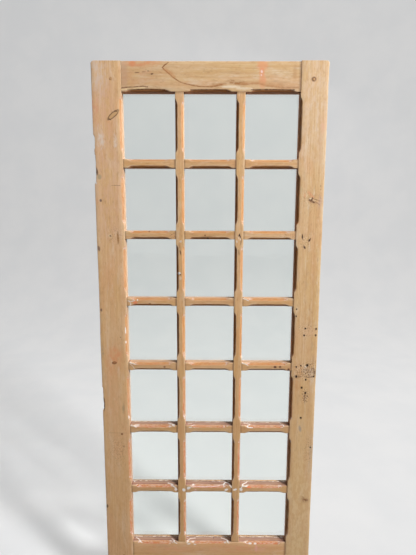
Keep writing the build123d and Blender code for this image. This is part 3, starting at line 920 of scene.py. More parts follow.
rightStile = {
    "seed": 57,
    "pith": (0.42, 0.06, 0.0),
    "offset": (0.0, 0.0, 2.3),
    "tone": 0.5,
    "paint": 0.9,
    "recessReach": 0.02,
    "cornerRadius": 0.008,
    "topBlock": 0.012,
    "pegCrush": 0.0005,
    "holeDepth": 0.018,
    "edge": [(0.0, 0.0), (0.4, 0.0003), (0.7, 0.0008), (0.78, 0.0003), (0.9, 0.0002), (1.15, 0.001),
             (1.4, 0.0004), (2.0, 0.0)],
    # from the right edge, below the top, diameter
    "holes": [(0.0671, 0.5597, 0.003), (0.0431, 0.57, 0.0035), (0.0597, 0.5935, 0.003),
              (0.078, 0.808, 0.0035), (0.0785, 0.8328, 0.0035), (0.0453, 0.8772, 0.0045),
              (0.0077, 0.8782, 0.0045), (0.0486, 0.901, 0.0045), (0.0082, 0.9008, 0.0045),
              (0.0722, 1.0163, 0.0045), (0.0565, 1.0118, 0.004), (0.0335, 1.0105, 0.0075),
              (0.071, 1.0518, 0.006), (0.0094, 1.0515, 0.0045), (0.0369, 1.0639, 0.0045),
              (0.0504, 1.0934, 0.0055), (0.0365, 1.1133, 0.0055), (0.0494, 1.2078, 0.0055),
              (0.0105, 1.3214, 0.004)],
    "knots": [(0.3414, 1.5457, 0.012, 0.03, 0.012), (0.3573, 0.449, 0.014, 0.03, 0.012),
              (0.33, 0.745, 0.012, 0.03, 0.006)],
    "marks": [
        (0.34, 1.85, 0.055, 0.16, 0.0, 0.9, 0.8, (226, 200, 174), 0.55),
        (0.337, 0.39, 0.05, 0.24, 0.0, 0.9, 0.8, (222, 194, 150), 0.7),
        (0.369, 1.79, 0.007, 0.03, 0.0, 0.7, 1.2, (228, 170, 136), 0.5),
        (0.369, 1.535, 0.0085, 0.022, 0.0, 0.8, 0.8, (204, 170, 150), 0.8),
        (0.342, 1.5415, 0.015, 0.0075, -0.5, 0.7, 0.8, (176, 130, 90), 0.8),
        (0.3326, 1.9245, 0.0072, 0.0072, 0.0, 0.4, 0.6, (120, 82, 58), 0.9),
        (0.314, 1.4225, 0.0024, 0.009, 0.1, 0.45, 0.9, (86, 56, 38), 0.95),
        (0.3384, 1.4115, 0.0026, 0.0075, -0.5, 0.45, 0.9, (98, 62, 44), 0.95),
        (0.3222, 1.3875, 0.0028, 0.0072, 0.5, 0.45, 0.9, (98, 64, 44), 0.9),
        (0.3169, 1.5593, 0.003, 0.007, 0.0, 0.6, 0.8, (224, 158, 116), 0.5),
        (0.3356, 1.5489, 0.0046, 0.0028, 0.0, 0.4, 0.5, (236, 210, 176), 0.85),
        (0.3491, 1.5431, 0.0052, 0.002, -0.4, 0.4, 0.5, (230, 200, 160), 0.8),
        (0.3684, 1.5904, 0.002, 0.0036, 0.0, 0.5, 0.8, brown, 0.45),
        (0.3689, 1.579, 0.0018, 0.0022, 0.0, 0.5, 0.8, brown, 0.4),
        (0.3037, 1.5753, 0.003, 0.013, 0.0, 0.6, 0.8, (192, 174, 136), 0.55),
        (0.3305, 0.7317, 0.0045, 0.0115, 0.2, 0.5, 0.9, (146, 136, 128), 0.65),
        (0.339, 0.745, 0.008, 0.016, 0.2, 0.7, 0.9, (196, 170, 140), 0.4),
        (0.3427, 0.966, 0.004, 0.0036, 0.0, 0.35, 0.6, (244, 226, 204), 0.9),
        (0.3404, 0.9497, 0.01, 0.008, 0.0, 0.6, 1.2, (200, 168, 138), 0.6),
        (0.36, 0.942, 0.012, 0.017, 0.0, 0.6, 1.4, (222, 196, 168), 0.6),
        (0.375, 0.944, 0.004, 0.013, 0.0, 0.5, 1.2, (104, 78, 60), 0.65),
        (0.314, 0.9285, 0.011, 0.006, 0.0, 0.6, 0.9, (108, 76, 54), 0.75),
        (0.35, 0.9475, 0.018, 0.013, 0.0, 0.8, 1.6, (120, 86, 62), 0.55),
        (0.311, 0.9, 0.013, 0.02, 0.0, 0.8, 0.8, (190, 136, 92), 0.5),
        (0.3671, 0.9016, 0.008, 0.028, 0.0, 0.7, 1.2, (222, 198, 172), 0.6),
        (0.353, 1.0915, 0.021, 0.017, 0.0, 0.3, 0.4, (218, 176, 136), 0.5),
        (0.374, 0.63, 0.006, 0.08, 0.0, 0.8, 1.2, (176, 158, 142), 0.45),
        (0.3573, 0.449, 0.015, 0.01, -0.2, 0.8, 0.8, (146, 100, 66), 0.75),
        (0.36, 0.449, 0.0075, 0.0024, -0.3, 0.45, 0.9, (116, 76, 48), 0.85),
        (0.3404, 0.856, 0.0022, 0.0038, 0.3, 0.45, 1.2, (112, 76, 54), 0.9),
        (0.3515, 0.8561, 0.0022, 0.003, 0.0, 0.45, 1.2, (118, 80, 58), 0.8),
        (0.343, 0.8452, 0.0026, 0.0026, 0.0, 0.45, 1.2, (122, 84, 60), 0.8),
    ],
    "strokes": [
        ([(0.3298, 1.5698), (0.335, 1.563), (0.3467, 1.5539)], 0.0036, 0.8, 0.8, (222, 154, 112), 0.7),
        ([(0.3432, 1.5499), (0.3546, 1.5464), (0.3682, 1.5409)], 0.0013, 0.5, 0.9, (146, 106, 74), 0.8),
        ([(0.3529, 1.5388), (0.36, 1.5345), (0.3667, 1.5294)], 0.0016, 0.5, 0.8, (156, 114, 84), 0.85),
        ([(0.3328, 1.5446), (0.3405, 1.541), (0.348, 1.5369)], 0.003, 0.6, 0.5, (106, 72, 48), 1.0),
        ([(0.3427, 1.5504), (0.3398, 1.543)], 0.0026, 0.6, 0.5, (102, 70, 48), 1.0),
        ([(0.316, 0.9296), (0.342, 0.9276)], 0.0012, 0.6, 1.2, (128, 90, 64), 0.55),
        ([(0.342, 0.9276), (0.353, 0.9262), (0.37, 0.929)], 0.0016, 0.5, 1.2, (104, 74, 54), 0.75),
        ([(0.3357, 1.1038), (0.3733, 1.1028)], 0.0008, 0.7, 1.3, (158, 118, 86), 0.4),
        ([(0.3324, 1.08), (0.3728, 1.0802)], 0.0008, 0.7, 1.3, (158, 118, 86), 0.4),
        ([(0.3387, 0.964), (0.3395, 0.948)], 0.0013, 0.6, 1.2, (112, 78, 54), 0.6),
        ([(0.37, 0.965), (0.3712, 0.935)], 0.0014, 0.6, 1.2, (112, 80, 58), 0.6),
        ([(0.3445, 0.865), (0.34, 0.844), (0.343, 0.833)], 0.0015, 0.6, 1.2, (124, 88, 60), 0.6),
        ([(0.35, 0.462), (0.356, 0.453), (0.368, 0.45)], 0.0018, 0.6, 1.0, (150, 104, 68), 0.6),
    ],
    "pitted": [(0.356, 0.95, 0.03, 0.03, 1.0), (0.344, 0.856, 0.013, 0.024, 1.0),
               (0.32, 0.95, 0.02, 0.03, 0.5), (0.364, 0.65, 0.016, 0.05, 0.45),
               (0.34, 1.1, 0.035, 0.025, 0.4), (0.336, 1.548, 0.038, 0.026, 0.35),
               (0.325, 1.408, 0.018, 0.025, 0.5)],
}

for side, outer, inner, settings in (("left", leafLeft, innerLeft, leftStile),
                                     ("right", leafRight, innerRight, rightStile)):
    piece = makeStile(f"{side}Stile", side, outer, inner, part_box(f"{side}_stile")[1].z, settings)
    dress(piece, makePine(f"{side}StilePine", True, settings), "frame_pine", f"{side}_stile")
print("stiles made")


# The rails

def makeRail(name, edge, far, tenons, settings):
    # edge is the arris beside the glass, far the rail's other side
    seed = settings["seed"]
    inward = 1 if far > edge else -1
    spans = crossSpans(*columns)
    along = placeStations(innerLeft, innerRight, leaf["spacing"], spans)
    rebateWall = edge + inward * leaf["rebate"]
    cuts, tongue = chamferCuts(along, spans, seed + 20)
    cuts = np.maximum(cuts, softArris(along, seed + 1))
    farCut = softArris(along, seed + 2, 0.001, 0.0016)
    corners = [
        (at(along, far, front), farCut, 0.0005),
        (at(along, edge, front), cuts, 0.0006),
        (at(along, edge, glassLine), softArris(along, seed + 3, 0.0005, 0.0004), 0.0003),
        (at(along, rebateWall, glassLine), None, 0),
        (at(along, rebateWall, back), softArris(along, seed + 4), 0.0004),
        (at(along, far, back), farCut, 0.0005),
    ]
    faceSplits = 6 if abs(far - edge) < 0.15 else 16
    rings, masks = sectionRings(corners, [faceSplits, 3, 1, 1, faceSplits, 4], [1])
    masks["tongue"] = tongue
    rings = roughen(rings, along, leaf["wear"], seed)
    piece = meshFromRings(name, rings, along, masks, False, settings["tone"], (innerLeft, innerRight),
                          settings["dirtAndShade"])
    low, high = sorted((rebateWall, far))
    lowest, highest = sorted((edge, far))
    lap, inset = leaf["lap"], leaf["inset"]

    def atBothEnds(reach, *sides):
        return [block(innerLeft - reach, innerLeft + lap, *sides),
                block(innerRight - lap, innerRight + reach, *sides)]

    shapes = atBothEnds(leaf["rebate"], glassLine + inset / 2, back - inset, low + inset, high - inset)
    shapes += atBothEnds(joints["haunch"], -half, half, lowest, highest - inset)
    for tenonLow, tenonHigh in tenons:
        shapes.append(block(leafLeft, innerLeft + lap, -half, half, tenonLow, tenonHigh))
        shapes.append(block(innerRight - lap, leafRight, -half, half, tenonLow, tenonHigh))
    combine(piece, shapes, "UNION")
    sockets = []
    for side, other in (("left", "middle"), ("middle", "right")):
        x = (openings[1, side][1] + openings[1, other][0]) / 2
        near, far = sorted((edge - inward * overrun, edge + inward * joints["socket"]))
        sockets.append(block(x - barHalf, x + barHalf, -half, half, near, far))
    combine(piece, sockets + pegHoles("left") + pegHoles("right"), "DIFFERENCE")
    return piece


topRail = {
    "seed": 83,
    "pith": (2.25, 0.07, 0.0),
    "offset": (0.0, 0.0, 4.1),
    "tone": 0.42,
    "paint": 0.5,
    "dirtAndShade": (0.15, 0.95),
    "marks": [
        (-0.2742, 1.935, 0.011, 0.046, 0.0, 0.5, 0.6, (198, 160, 134), 0.55),
        (-0.248, 1.97, 0.01, 0.009, 0.0, 0.5, 0.8, (224, 140, 92), 0.75),
        (-0.22, 1.971, 0.045, 0.0085, 0.0, 0.7, 0.8, (222, 142, 98), 0.8),
        (-0.225, 1.935, 0.06, 0.042, 0.0, 0.8, 0.6, (206, 152, 112), 0.5),
        (-0.233, 1.943, 0.0075, 0.0013, 0.1, 0.4, 0.9, (112, 76, 48), 0.85),
        (-0.211, 1.9455, 0.006, 0.001, 0.0, 0.5, 0.9, brown, 0.6),
        (-0.197, 1.948, 0.0028, 0.0015, 0.0, 0.4, 0.9, (112, 76, 48), 0.75),
        (-0.185, 1.9392, 0.0042, 0.0024, 0.2, 0.4, 0.9, (100, 66, 42), 0.85),
        (0.08, 1.915, 0.03, 0.007, 0.0, 0.6, 1.4, (158, 108, 62), 0.95),
        (0.098, 1.91, 0.03, 0.0045, -0.1, 0.6, 1.2, (168, 118, 70), 0.9),
        (0.025, 1.908, 0.026, 0.005, 0.1, 0.7, 1.0, (178, 126, 78), 0.8),
        (0.066, 1.901, 0.03, 0.0038, 0.0, 0.4, 1.6, (240, 222, 194), 0.75),
        (0.108, 1.896, 0.026, 0.0036, 0.0, 0.4, 1.6, (240, 222, 194), 0.6),
        (0.1682, 1.965, 0.017, 0.015, 0.0, 0.5, 0.8, (228, 158, 112), 0.75),
        (0.166, 1.945, 0.0075, 0.013, 0.0, 0.5, 0.9, (230, 150, 108), 0.75),
        (0.1685, 1.919, 0.011, 0.02, 0.0, 0.5, 0.9, (228, 152, 108), 0.65),
        (0.1655, 1.9471, 0.0034, 0.0046, 0.2, 0.5, 0.9, (244, 212, 202), 0.9),
        (0.1645, 1.9365, 0.0022, 0.0032, 0.0, 0.5, 0.9, (244, 214, 202), 0.7),
        (0.2712, 1.947, 0.006, 0.024, 0.0, 0.6, 0.9, (188, 142, 96), 0.55),
    ],
    "strokes": [
        ([(-0.133, 1.9734), (-0.144, 1.966), (-0.1515, 1.9584), (-0.1431, 1.95), (-0.13, 1.94),
          (-0.118, 1.929), (-0.108, 1.9225)], 0.0017, 0.6, 1.0, (138, 86, 46), 1.0),
        ([(-0.144, 1.953), (-0.129, 1.943), (-0.115, 1.93)], 0.005, 0.9, 0.8, (196, 138, 88), 0.7),
        ([(-0.108, 1.9225), (-0.095, 1.915), (-0.0833, 1.911), (-0.0593, 1.9059), (-0.0315, 1.9014),
          (0.007, 1.9005), (0.039, 1.907)], 0.0018, 0.6, 1.1, (156, 104, 60), 0.9),
        ([(0.105, 1.9095), (0.1206, 1.91), (0.1567, 1.9115), (0.1808, 1.9046), (0.229, 1.8992),
          (0.285, 1.899)], 0.0026, 0.8, 0.5, (168, 116, 74), 0.7),
        # painted shadow: a dark line along the arris above the lower chamfer, in three strokes
        ([(0.133, 1.892), (0.204, 1.8928), (0.272, 1.8918)], 0.0015, 0.4, 0.4, (84, 52, 38), 0.95),
        ([(-0.265, 1.892), (-0.2, 1.8935), (-0.145, 1.8912)], 0.0015, 0.4, 0.4, (78, 48, 34), 0.95),
        ([(-0.062, 1.8915), (0.0, 1.8922), (0.056, 1.8915)], 0.0014, 0.4, 0.4, (90, 56, 40), 0.9),
        ([(0.105, 1.911), (0.1567, 1.913), (0.19, 1.906), (0.229, 1.903)], 0.0055, 0.9, 0.8,
         (194, 142, 94), 0.6),
        ([(-0.283, 1.8965), (-0.27, 1.8985), (-0.2432, 1.8995), (-0.215, 1.902), (-0.2, 1.9)],
         0.0017, 0.6, 0.8, (118, 78, 48), 0.95),
        ([(-0.283, 1.8915), (-0.2432, 1.895), (-0.21, 1.8975)], 0.0024, 0.6, 0.9, (240, 208, 160), 0.9),
    ],
}
bottomRail = {
    "seed": 101,
    "pith": (0.1, 0.1, 0.0),
    "offset": (0.0, 0.0, 6.7),
    "tint": (1.07, 1.0, 1.0),
    "tone": 0.55,
    "paint": 1.0,
    "dirtAndShade": (0.5, 0.85),
    "marks": [
        (-0.14, 0.245, 0.09, 0.014, 0.0, 0.8, 1.2, (224, 152, 122), 0.4),
        (0.15, 0.246, 0.11, 0.014, 0.0, 0.8, 1.2, (224, 152, 122), 0.45),
        (0.1814, 0.248, 0.005, 0.016, 0.0, 0.6, 1.0, (228, 172, 158), 0.6),
        (0.0207, 0.2855, 0.0012, 0.006, 0.0, 0.4, 0.5, nearBlack, 0.8),
        (-0.0729, 0.2646, 0.007, 0.003, 0.2, 0.4, 0.9, whitePaint, 0.85),
        (-0.0495, 0.262, 0.005, 0.0022, 0.0, 0.4, 0.9, whitePaint, 0.75),
        (0.1584, 0.2661, 0.006, 0.0026, 0.0, 0.4, 0.9, whitePaint, 0.8),
        (0.1773, 0.2654, 0.005, 0.0024, 0.0, 0.4, 0.9, whitePaint, 0.8),
    ],
    "strokes": [
        ([(-0.274, 0.284), (-0.2667, 0.2793), (-0.256, 0.27)], 0.0018, 0.4, 1.0, whitePaint, 0.9),
        ([(-0.138, 0.279), (-0.1251, 0.2697), (-0.118, 0.266)], 0.0018, 0.4, 1.0, whitePaint, 0.9),
        ([(-0.08, 0.269), (-0.0683, 0.2806), (-0.05, 0.284)], 0.002, 0.4, 1.0, whitePaint, 0.9),
        ([(0.05, 0.285), (0.0676, 0.2773), (0.079, 0.268)], 0.0018, 0.4, 1.0, whitePaint, 0.85),
    ],
}
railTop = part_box("top_rail")[1].z
for name, edge, far, tenons, settings in (("top", gridTop, railTop, tenonHeights[2:], topRail),
                                          ("bottom", gridLow, 0.0, tenonHeights[:2], bottomRail)):
    piece = makeRail(f"{name}Rail", edge, far, tenons, settings)
    dress(piece, makePine(f"{name}RailPine", False, settings), "frame_pine", f"{name}_rail")
print("rails made")


# The glazing bars

def makeBar(name, low, high, start, end, spans, upright, stubs, tone, seed):
    # low and high are the bar's two sides, start and end its shoulders, stubs its tenons' lengths
    along = placeStations(start, end, leaf["spacing"] if upright else leaf["shortSpacing"], spans)
    lowCuts, tongue = chamferCuts(along, spans, seed + 20)
    highCuts, highTongue = chamferCuts(along, spans, seed + 40)
    lowCuts = np.maximum(lowCuts, softArris(along, seed + 1, 0.0007, 0.0009))
    highCuts = np.maximum(highCuts, softArris(along, seed + 2, 0.0007, 0.0009))
    rebate, inset = leaf["rebate"], leaf["inset"]
    corners = [
        (at(along, low, front), lowCuts, 0.0005),
        (at(along, high, front), highCuts, 0.0005),
        (at(along, high, glassLine), constant(along, inset), 0.0002),
        (at(along, high - rebate, glassLine), None, 0),
        (at(along, high - rebate, back), softArris(along, seed + 3, 0.0007, 0.0008), 0.0004),
        (at(along, low + rebate, back), softArris(along, seed + 4, 0.0007, 0.0008), 0.0004),
        (at(along, low + rebate, glassLine), None, 0),
        (at(along, low, glassLine), constant(along, inset), 0.0002),
    ]
    rings, masks = sectionRings(corners, [4, 3, 1, 1, 2, 1, 1, 3], [1, 7])
    masks["tongue"] = np.maximum(tongue, highTongue)
    rings = roughen(rings, along, leaf["wear"], seed)
    # how dark each end's joint is: dirt, and painted shade at the end in shadow
    dirtAndShade = (0.35, 0.55) if upright else (0.5, 0.9)
    piece = meshFromRings(name, rings, along, masks, upright, tone, (start, end), dirtAndShade)
    fin = (low + rebate + inset, high - rebate - inset)
    shapes = []
    for shoulder, way, stub in ((start, -1, stubs[0]), (end, 1, stubs[1])):
        for reach, near, far in ((rebate, glassLine + inset / 2, back - inset), (stub, -half, half)):
            run = sorted((shoulder - way * leaf["lap"], shoulder + way * reach))
            first, last = (fin, run) if upright else (run, fin)
            shapes.append(block(*first, near, far, *last))
    combine(piece, shapes, "UNION")
    return piece


bars = {
    "left": {"pith": (-0.05, 0.04, 0.0), "offset": (0.0, 0.0, 8.9), "tone": 0.55, "seed": 211},
    "right": {"pith": (0.16, 0.05, 0.0), "offset": (0.0, 0.0, 11.3), "tone": 0.55, "seed": 257},
}
for settings in bars.values():
    settings["paint"] = 0.9
    settings["tint"] = (0.96, 0.89, 0.82)
bars["left"]["knots"] = [(-0.0965, 1.387, 0.008, 0.016, 0.01)]
bars["left"]["marks"] = [
    (-0.0964, 1.4053, 0.004, 0.0034, 0.3, 0.4, 0.9, (226, 216, 204), 0.75),
    (-0.0955, 1.4048, 0.0014, 0.0014, 0.3, 0.4, 0.9, (140, 106, 76), 0.8),
    (-0.0977, 1.369, 0.0022, 0.0085, 0.2, 0.4, 0.9, (100, 74, 52), 0.9),
    (-0.1, 1.388, 0.004, 0.012, 0.2, 0.6, 0.9, (168, 124, 84), 0.8),
    (-0.1026, 1.2968, 0.0052, 0.0046, 0.0, 0.3, 1.4, whitePaint, 0.95),
    (-0.099, 1.2925, 0.0024, 0.003, 0.4, 0.4, 0.9, nearBlack, 0.8),
    (-0.107, 1.303, 0.0016, 0.004, 0.0, 0.4, 0.9, nearBlack, 0.7),
    (-0.0985, 1.28, 0.005, 0.006, 0.2, 0.5, 0.9, paleWood, 0.6),
    (-0.0908, 0.4875, 0.006, 0.0056, -0.5, 0.3, 1.0, whitePaint, 1.0),
]
bars["right"]["knots"] = [(0.0985, 1.4, 0.01, 0.018, 0.012)]
bars["right"]["marks"] = [
    (0.104, 1.423, 0.0021, 0.0085, 0.3, 0.35, 0.9, (64, 40, 30), 1.0),
    (0.1008, 1.4275, 0.0019, 0.006, -0.5, 0.4, 0.9, (70, 46, 34), 0.95),
    (0.1052, 1.414, 0.0015, 0.006, 0.3, 0.4, 0.7, (240, 220, 200), 0.8),
    (0.099, 1.417, 0.0014, 0.008, 0.3, 0.4, 0.7, (236, 214, 190), 0.7),
    (0.0935, 1.406, 0.0024, 0.0044, 0.2, 0.4, 0.9, (224, 212, 200), 0.7),
    (0.1073, 1.4043, 0.0012, 0.011, -0.15, 0.45, 0.7, (84, 54, 34), 0.8),
    (0.1005, 1.369, 0.0016, 0.009, 0.1, 0.45, 0.7, (120, 88, 60), 0.7),
    (0.099, 0.4895, 0.0072, 0.004, 0.3, 0.3, 1.0, whitePaint, 1.0),
]
for side, other in (("left", "middle"), ("middle", "right")):
    name = "left" if side == "left" else "right"
    settings = bars[name]
    low, high = openings[1, side][1], openings[1, other][0]
    stub = joints["tenonInFrame"]
    piece = makeBar(f"{name}Upright", low, high, gridLow, gridTop, uprightSpans(leaf["blockAtRail"]), True,
                    (stub, stub), settings["tone"], settings["seed"])
    sockets = []
    for row in rows[:-1]:
        z = barMiddle(row)
        for edge, way in ((low, 1), (high, -1)):
            run = sorted((edge - way * overrun, edge + way * joints["socketInBar"]))
            sockets.append(block(*run, -half, half, z - barHalf, z + barHalf))
    combine(piece, sockets, "DIFFERENCE")
    dress(piece, makePine(f"{name}UprightPine", True, settings), "bar_pine", f"{name}_upright_bar")

crossBars = {
    "pith": (0.0, 0.16, 0.0),
    "offset": (0.0, 0.0, 14.2),
    "paint": 1.0,
    "tint": (0.95, 0.87, 0.8),
    "marks": [
        (-0.203, 1.4385, 0.003, 0.0024, 0.0, 0.35, 0.5, brown, 0.85),
        (-0.0143, 1.4261, 0.0026, 0.0026, 0.0, 0.35, 0.5, (120, 70, 44), 0.9),
        (-0.0049, 1.4164, 0.0034, 0.003, 0.0, 0.35, 0.5, nearBlack, 0.9),
        (-0.01, 1.42, 0.024, 0.004, 0.1, 0.6, 0.7, (132, 88, 52), 0.6),
        (0.258, 0.961, 0.028, 0.0085, 0.0, 0.8, 1.4, (158, 106, 72), 0.65),
        (0.234, 0.964, 0.005, 0.0038, 0.0, 0.35, 0.5, (88, 52, 38), 0.95),
        (0.2516, 0.9641, 0.0044, 0.0034, 0.0, 0.35, 0.5, (100, 60, 42), 0.9),
        (0.282, 0.9532, 0.0044, 0.0055, 0.0, 0.35, 0.5, (84, 50, 36), 0.95),
        (-0.1565, 0.9621, 0.004, 0.003, 0.0, 0.35, 0.5, (116, 72, 46), 0.85),
        (-0.205, 1.19, 0.004, 0.003, 0.0, 0.4, 0.9, (134, 92, 60), 0.75),
        (-0.255, 1.194, 0.0075, 0.005, 0.2, 0.5, 0.8, (232, 134, 92), 0.8),
        (-0.247, 1.203, 0.0022, 0.003, 0.0, 0.4, 0.9, whitePaint, 0.9),
        (-0.0725, 0.4948, 0.0068, 0.0054, 0.3, 0.3, 1.0, whitePaint, 1.0),
        (-0.0563, 0.504, 0.0038, 0.0028, 0.3, 0.3, 1.0, (240, 226, 218), 0.9),
        (-0.121, 0.489, 0.0044, 0.005, 0.3, 0.3, 1.0, (240, 222, 214), 1.0),
        (-0.047, 0.4868, 0.0034, 0.004, 0.0, 0.4, 0.9, (232, 180, 166), 0.8),
        (0.0666, 0.4888, 0.007, 0.0042, 0.4, 0.3, 1.0, whitePaint, 1.0),
        (0.1199, 0.49, 0.0062, 0.006, -0.6, 0.3, 1.0, whitePaint, 1.0),
        (0.1499, 0.4982, 0.008, 0.0022, 0.0, 0.4, 0.9, (226, 126, 84), 0.9),
    ],
    "strokes": [
        ([(-0.28, 1.2), (-0.2694, 1.1978), (-0.2566, 1.2007)], 0.0015, 0.5, 1.0, whitePaint, 0.9),
        ([(-0.2735, 1.1965), (-0.27, 1.188), (-0.2745, 1.182)], 0.0014, 0.5, 1.0, whitePaint, 0.8),
        ([(-0.15, 0.511), (-0.14, 0.507), (-0.13, 0.502), (-0.1212, 0.4965), (-0.1166, 0.4879)],
         0.0022, 0.4, 1.0, whitePaint, 1.0),
        ([(0.056, 0.504), (0.0627, 0.5154), (0.0733, 0.5134), (0.0813, 0.504), (0.085, 0.499)],
         0.0023, 0.4, 1.0, whitePaint, 1.0),
        ([(0.1205, 0.495), (0.123, 0.4995), (0.1289, 0.5073), (0.1427, 0.5162)],
         0.0022, 0.4, 1.0, whitePaint, 1.0),
        ([(0.1267, 0.5031), (0.1406, 0.5017)], 0.0018, 0.4, 1.0, whitePaint, 1.0),
        ([(-0.0679, 0.4994), (-0.0215, 0.4987), (0.0248, 0.5), (0.0526, 0.5042)],
         0.001, 0.5, 1.2, (238, 214, 206), 0.85),
        ([(0.1296, 0.7533), (0.14, 0.749), (0.1501, 0.7443)], 0.0019, 0.4, 1.2, whitePaint, 0.9),
        ([(0.1412, 0.7341), (0.1593, 0.7342)], 0.0013, 0.4, 1.2, whitePaint, 0.95),
        ([(0.2607, 0.7501), (0.268, 0.744), (0.2723, 0.74)], 0.0015, 0.4, 1.0, whitePaint, 0.9),
        ([(-0.0744, 0.7466), (-0.0608, 0.7512)], 0.0012, 0.4, 1.0, whitePaint, 0.9),
        ([(-0.07, 0.7352), (-0.062, 0.734)], 0.0016, 0.4, 1.0, whitePaint, 0.9),
        ([(-0.1468, 0.7505), (-0.1332, 0.7441), (-0.1242, 0.7395)], 0.002, 0.4, 1.0, whitePaint, 1.0),
        ([(-0.2834, 0.527), (-0.2743, 0.5162)], 0.0014, 0.4, 1.0, whitePaint, 0.7),
        ([(-0.278, 0.977), (-0.27, 0.975), (-0.26, 0.971)], 0.0015, 0.5, 1.0, whitePaint, 0.9),
        ([(-0.277, 0.972), (-0.268, 0.964), (-0.262, 0.954)], 0.0011, 0.5, 1.0, (238, 220, 206), 0.8),
        ([(0.1175, 1.209), (0.126, 1.207), (0.136, 1.2025)], 0.0013, 0.5, 1.0, whitePaint, 0.9),
        ([(0.1185, 0.977), (0.129, 0.9745), (0.139, 0.969)], 0.0013, 0.5, 1.0, whitePaint, 0.9),
        ([(-0.28, 0.74), (-0.271, 0.7385), (-0.262, 0.734)], 0.0016, 0.5, 1.0, whitePaint, 0.9),
    ],
    "pitted": [(0.26, 1.425, 0.025, 0.01, 0.5), (-0.122, 1.425, 0.01, 0.01, 0.8)],
}
crossPine = makePine("crossBarPine", False, crossBars)
for row in rows[:-1]:
    for i, side in enumerate(columns):
        left, right, low = openings[row, side][:3]
        stubs = (joints["tenonInFrame"] if side == "left" else joints["tenonInBar"],
                 joints["tenonInFrame"] if side == "right" else joints["tenonInBar"])
        seed = 300 + row * 17 + i * 5
        tone = np.random.default_rng(seed).uniform(0.3, 0.75)
        piece = makeBar(f"crossBar{row}{side.capitalize()}", openings[row + 1, side][3], low, left, right,
                        crossSpans(side), False, stubs, tone, seed)
        dress(piece, crossPine, "bar_pine", f"cross_bar_{row}_{side}")
print("glazing bars made")


# The pegs and the wedges

def makeLoft(rings):
    # a closed body through a row of rings, with flat ends
    count = len(rings[0])
    return [tuple(place) for ring in rings for place in ring], skin(len(rings), count)


def meshOf(name, bodies, **values):
    # joins bodies made by makeLoft into one object, and keeps the values given for each body on its points
    places, faces = [], []
    for bodyPlaces, bodyFaces in bodies:
        faces += [tuple(k + len(places) for k in face) for face in bodyFaces]
        places += bodyPlaces
    sizes = [len(bodyPlaces) for bodyPlaces, bodyFaces in bodies]
    return newPiece(name, places, faces, {key: np.repeat(perBody, sizes) for key, perBody in values.items()})


def makeEndGrain(name, axis, tint, grime):
    # cut across the fibres: rings and rays seen end on, darker than the faces
    material, tree = newMaterial(name)
    place = put(tree, "ShaderNodeTexCoord").outputs["Object"]
    if axis == "x":
        parts = put(tree, "ShaderNodeSeparateXYZ", {0: place}).outputs
        place = put(tree, "ShaderNodeCombineXYZ", {0: parts["Z"], 1: parts["X"], 2: parts["Y"]}).outputs[0]
    flat = scaled(tree, place, 1, 0.06, 1)
    pores = noiseAt(tree, flat, 1400.0, 3.0, 0.6)
    patch = noiseAt(tree, flat, 160.0, 4.0, 0.6)
    waves = {"Vector": flat, "Scale": 110.0, "Distortion": 3.0, "Detail": 2.0, "Detail Scale": 1.4}
    rings = put(tree, "ShaderNodeTexWave", waves, wave_type="RINGS", rings_direction="Y").outputs["Fac"]
    colour = blendColour(tree, rings, tint, endGrain["rings"])
    colour = overlaid(tree, colour, [(patch, 0.42, 0.7, 0.0, grime, endGrain["patches"]),
                                     (pores, 0.55, 0.75, 0.0, grime, endGrain["pores"])])
    height = calc(tree, "MULTIPLY_ADD", rings, 0.5, pores)
    rough = calc(tree, "MULTIPLY_ADD", pores, 0.2, 0.62)
    finishSurface(tree, colour, rough, height, endGrain["bump"], {"Specular IOR Level": endGrain["gloss"]})
    return material


endGrain = {"rings": rgb(196, 150, 104), "patches": rgb(128, 86, 54), "pores": rgb(92, 60, 38),
            "bump": (0.4, 0.0004), "gloss": 0.25}
pegs = {
    "sides": 18,
    "flats": 0.00035,       # how far the whittled sides lie inside the round
    "sunk": 0.0002,         # how far an end lies below the face
    "ease": 0.0008,         # depth of the rounding at the ends
    "seed": 5,
}
chance = np.random.default_rng(pegs["seed"])
pegBodies = []
for x in pegX.values():
    for z in pegZ:
        turns = np.linspace(0, 2 * math.pi, pegs["sides"], endpoint=False)
        shape = joints["pegRadius"] - pegs["flats"] * (0.5 + 0.5 * np.sin(turns * 3 + chance.uniform(0, 6)))
        shape -= chance.uniform(0, pegs["flats"] * 0.4, pegs["sides"])
        start, end = front + pegs["sunk"], back - pegs["sunk"]
        levels = [(start, 0.86), (start + pegs["ease"] * 0.3, 0.95), (start + pegs["ease"], 1.0),
                  (0.0, 1.0), (back - pegs["ease"], 1.0), (end, 0.9)]
        pegBodies.append(makeLoft([
            [(x + r * part * math.cos(t), y, z + r * part * math.sin(t)) for r, t in zip(shape, turns)]
            for y, part in levels]))
pegPiece = meshOf("tenonPegs", pegBodies)
dress(pegPiece, makeEndGrain("pegEndGrain", "y", rgb(210, 168, 124), 0.35), "peg_wood", "tenon_pegs")
wedgeFinish = makeEndGrain("wedgeEndGrain", "x", rgb(176, 128, 84), 0.6)
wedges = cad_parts["tenon_wedges"]
wedges.data.materials.clear()
wedges.data.materials.append(wedgeFinish)
print("pegs and wedges made")


# The glass

glass = {"thickness": 0.003, "wave": 0.00018, "across": 12, "up": 14, "tint": (0.93, 0.975, 0.955, 1),
         "ior": 1.5, "dust": 0.06, "polish": 0.02, "bump": (0.25, 0.0012)}


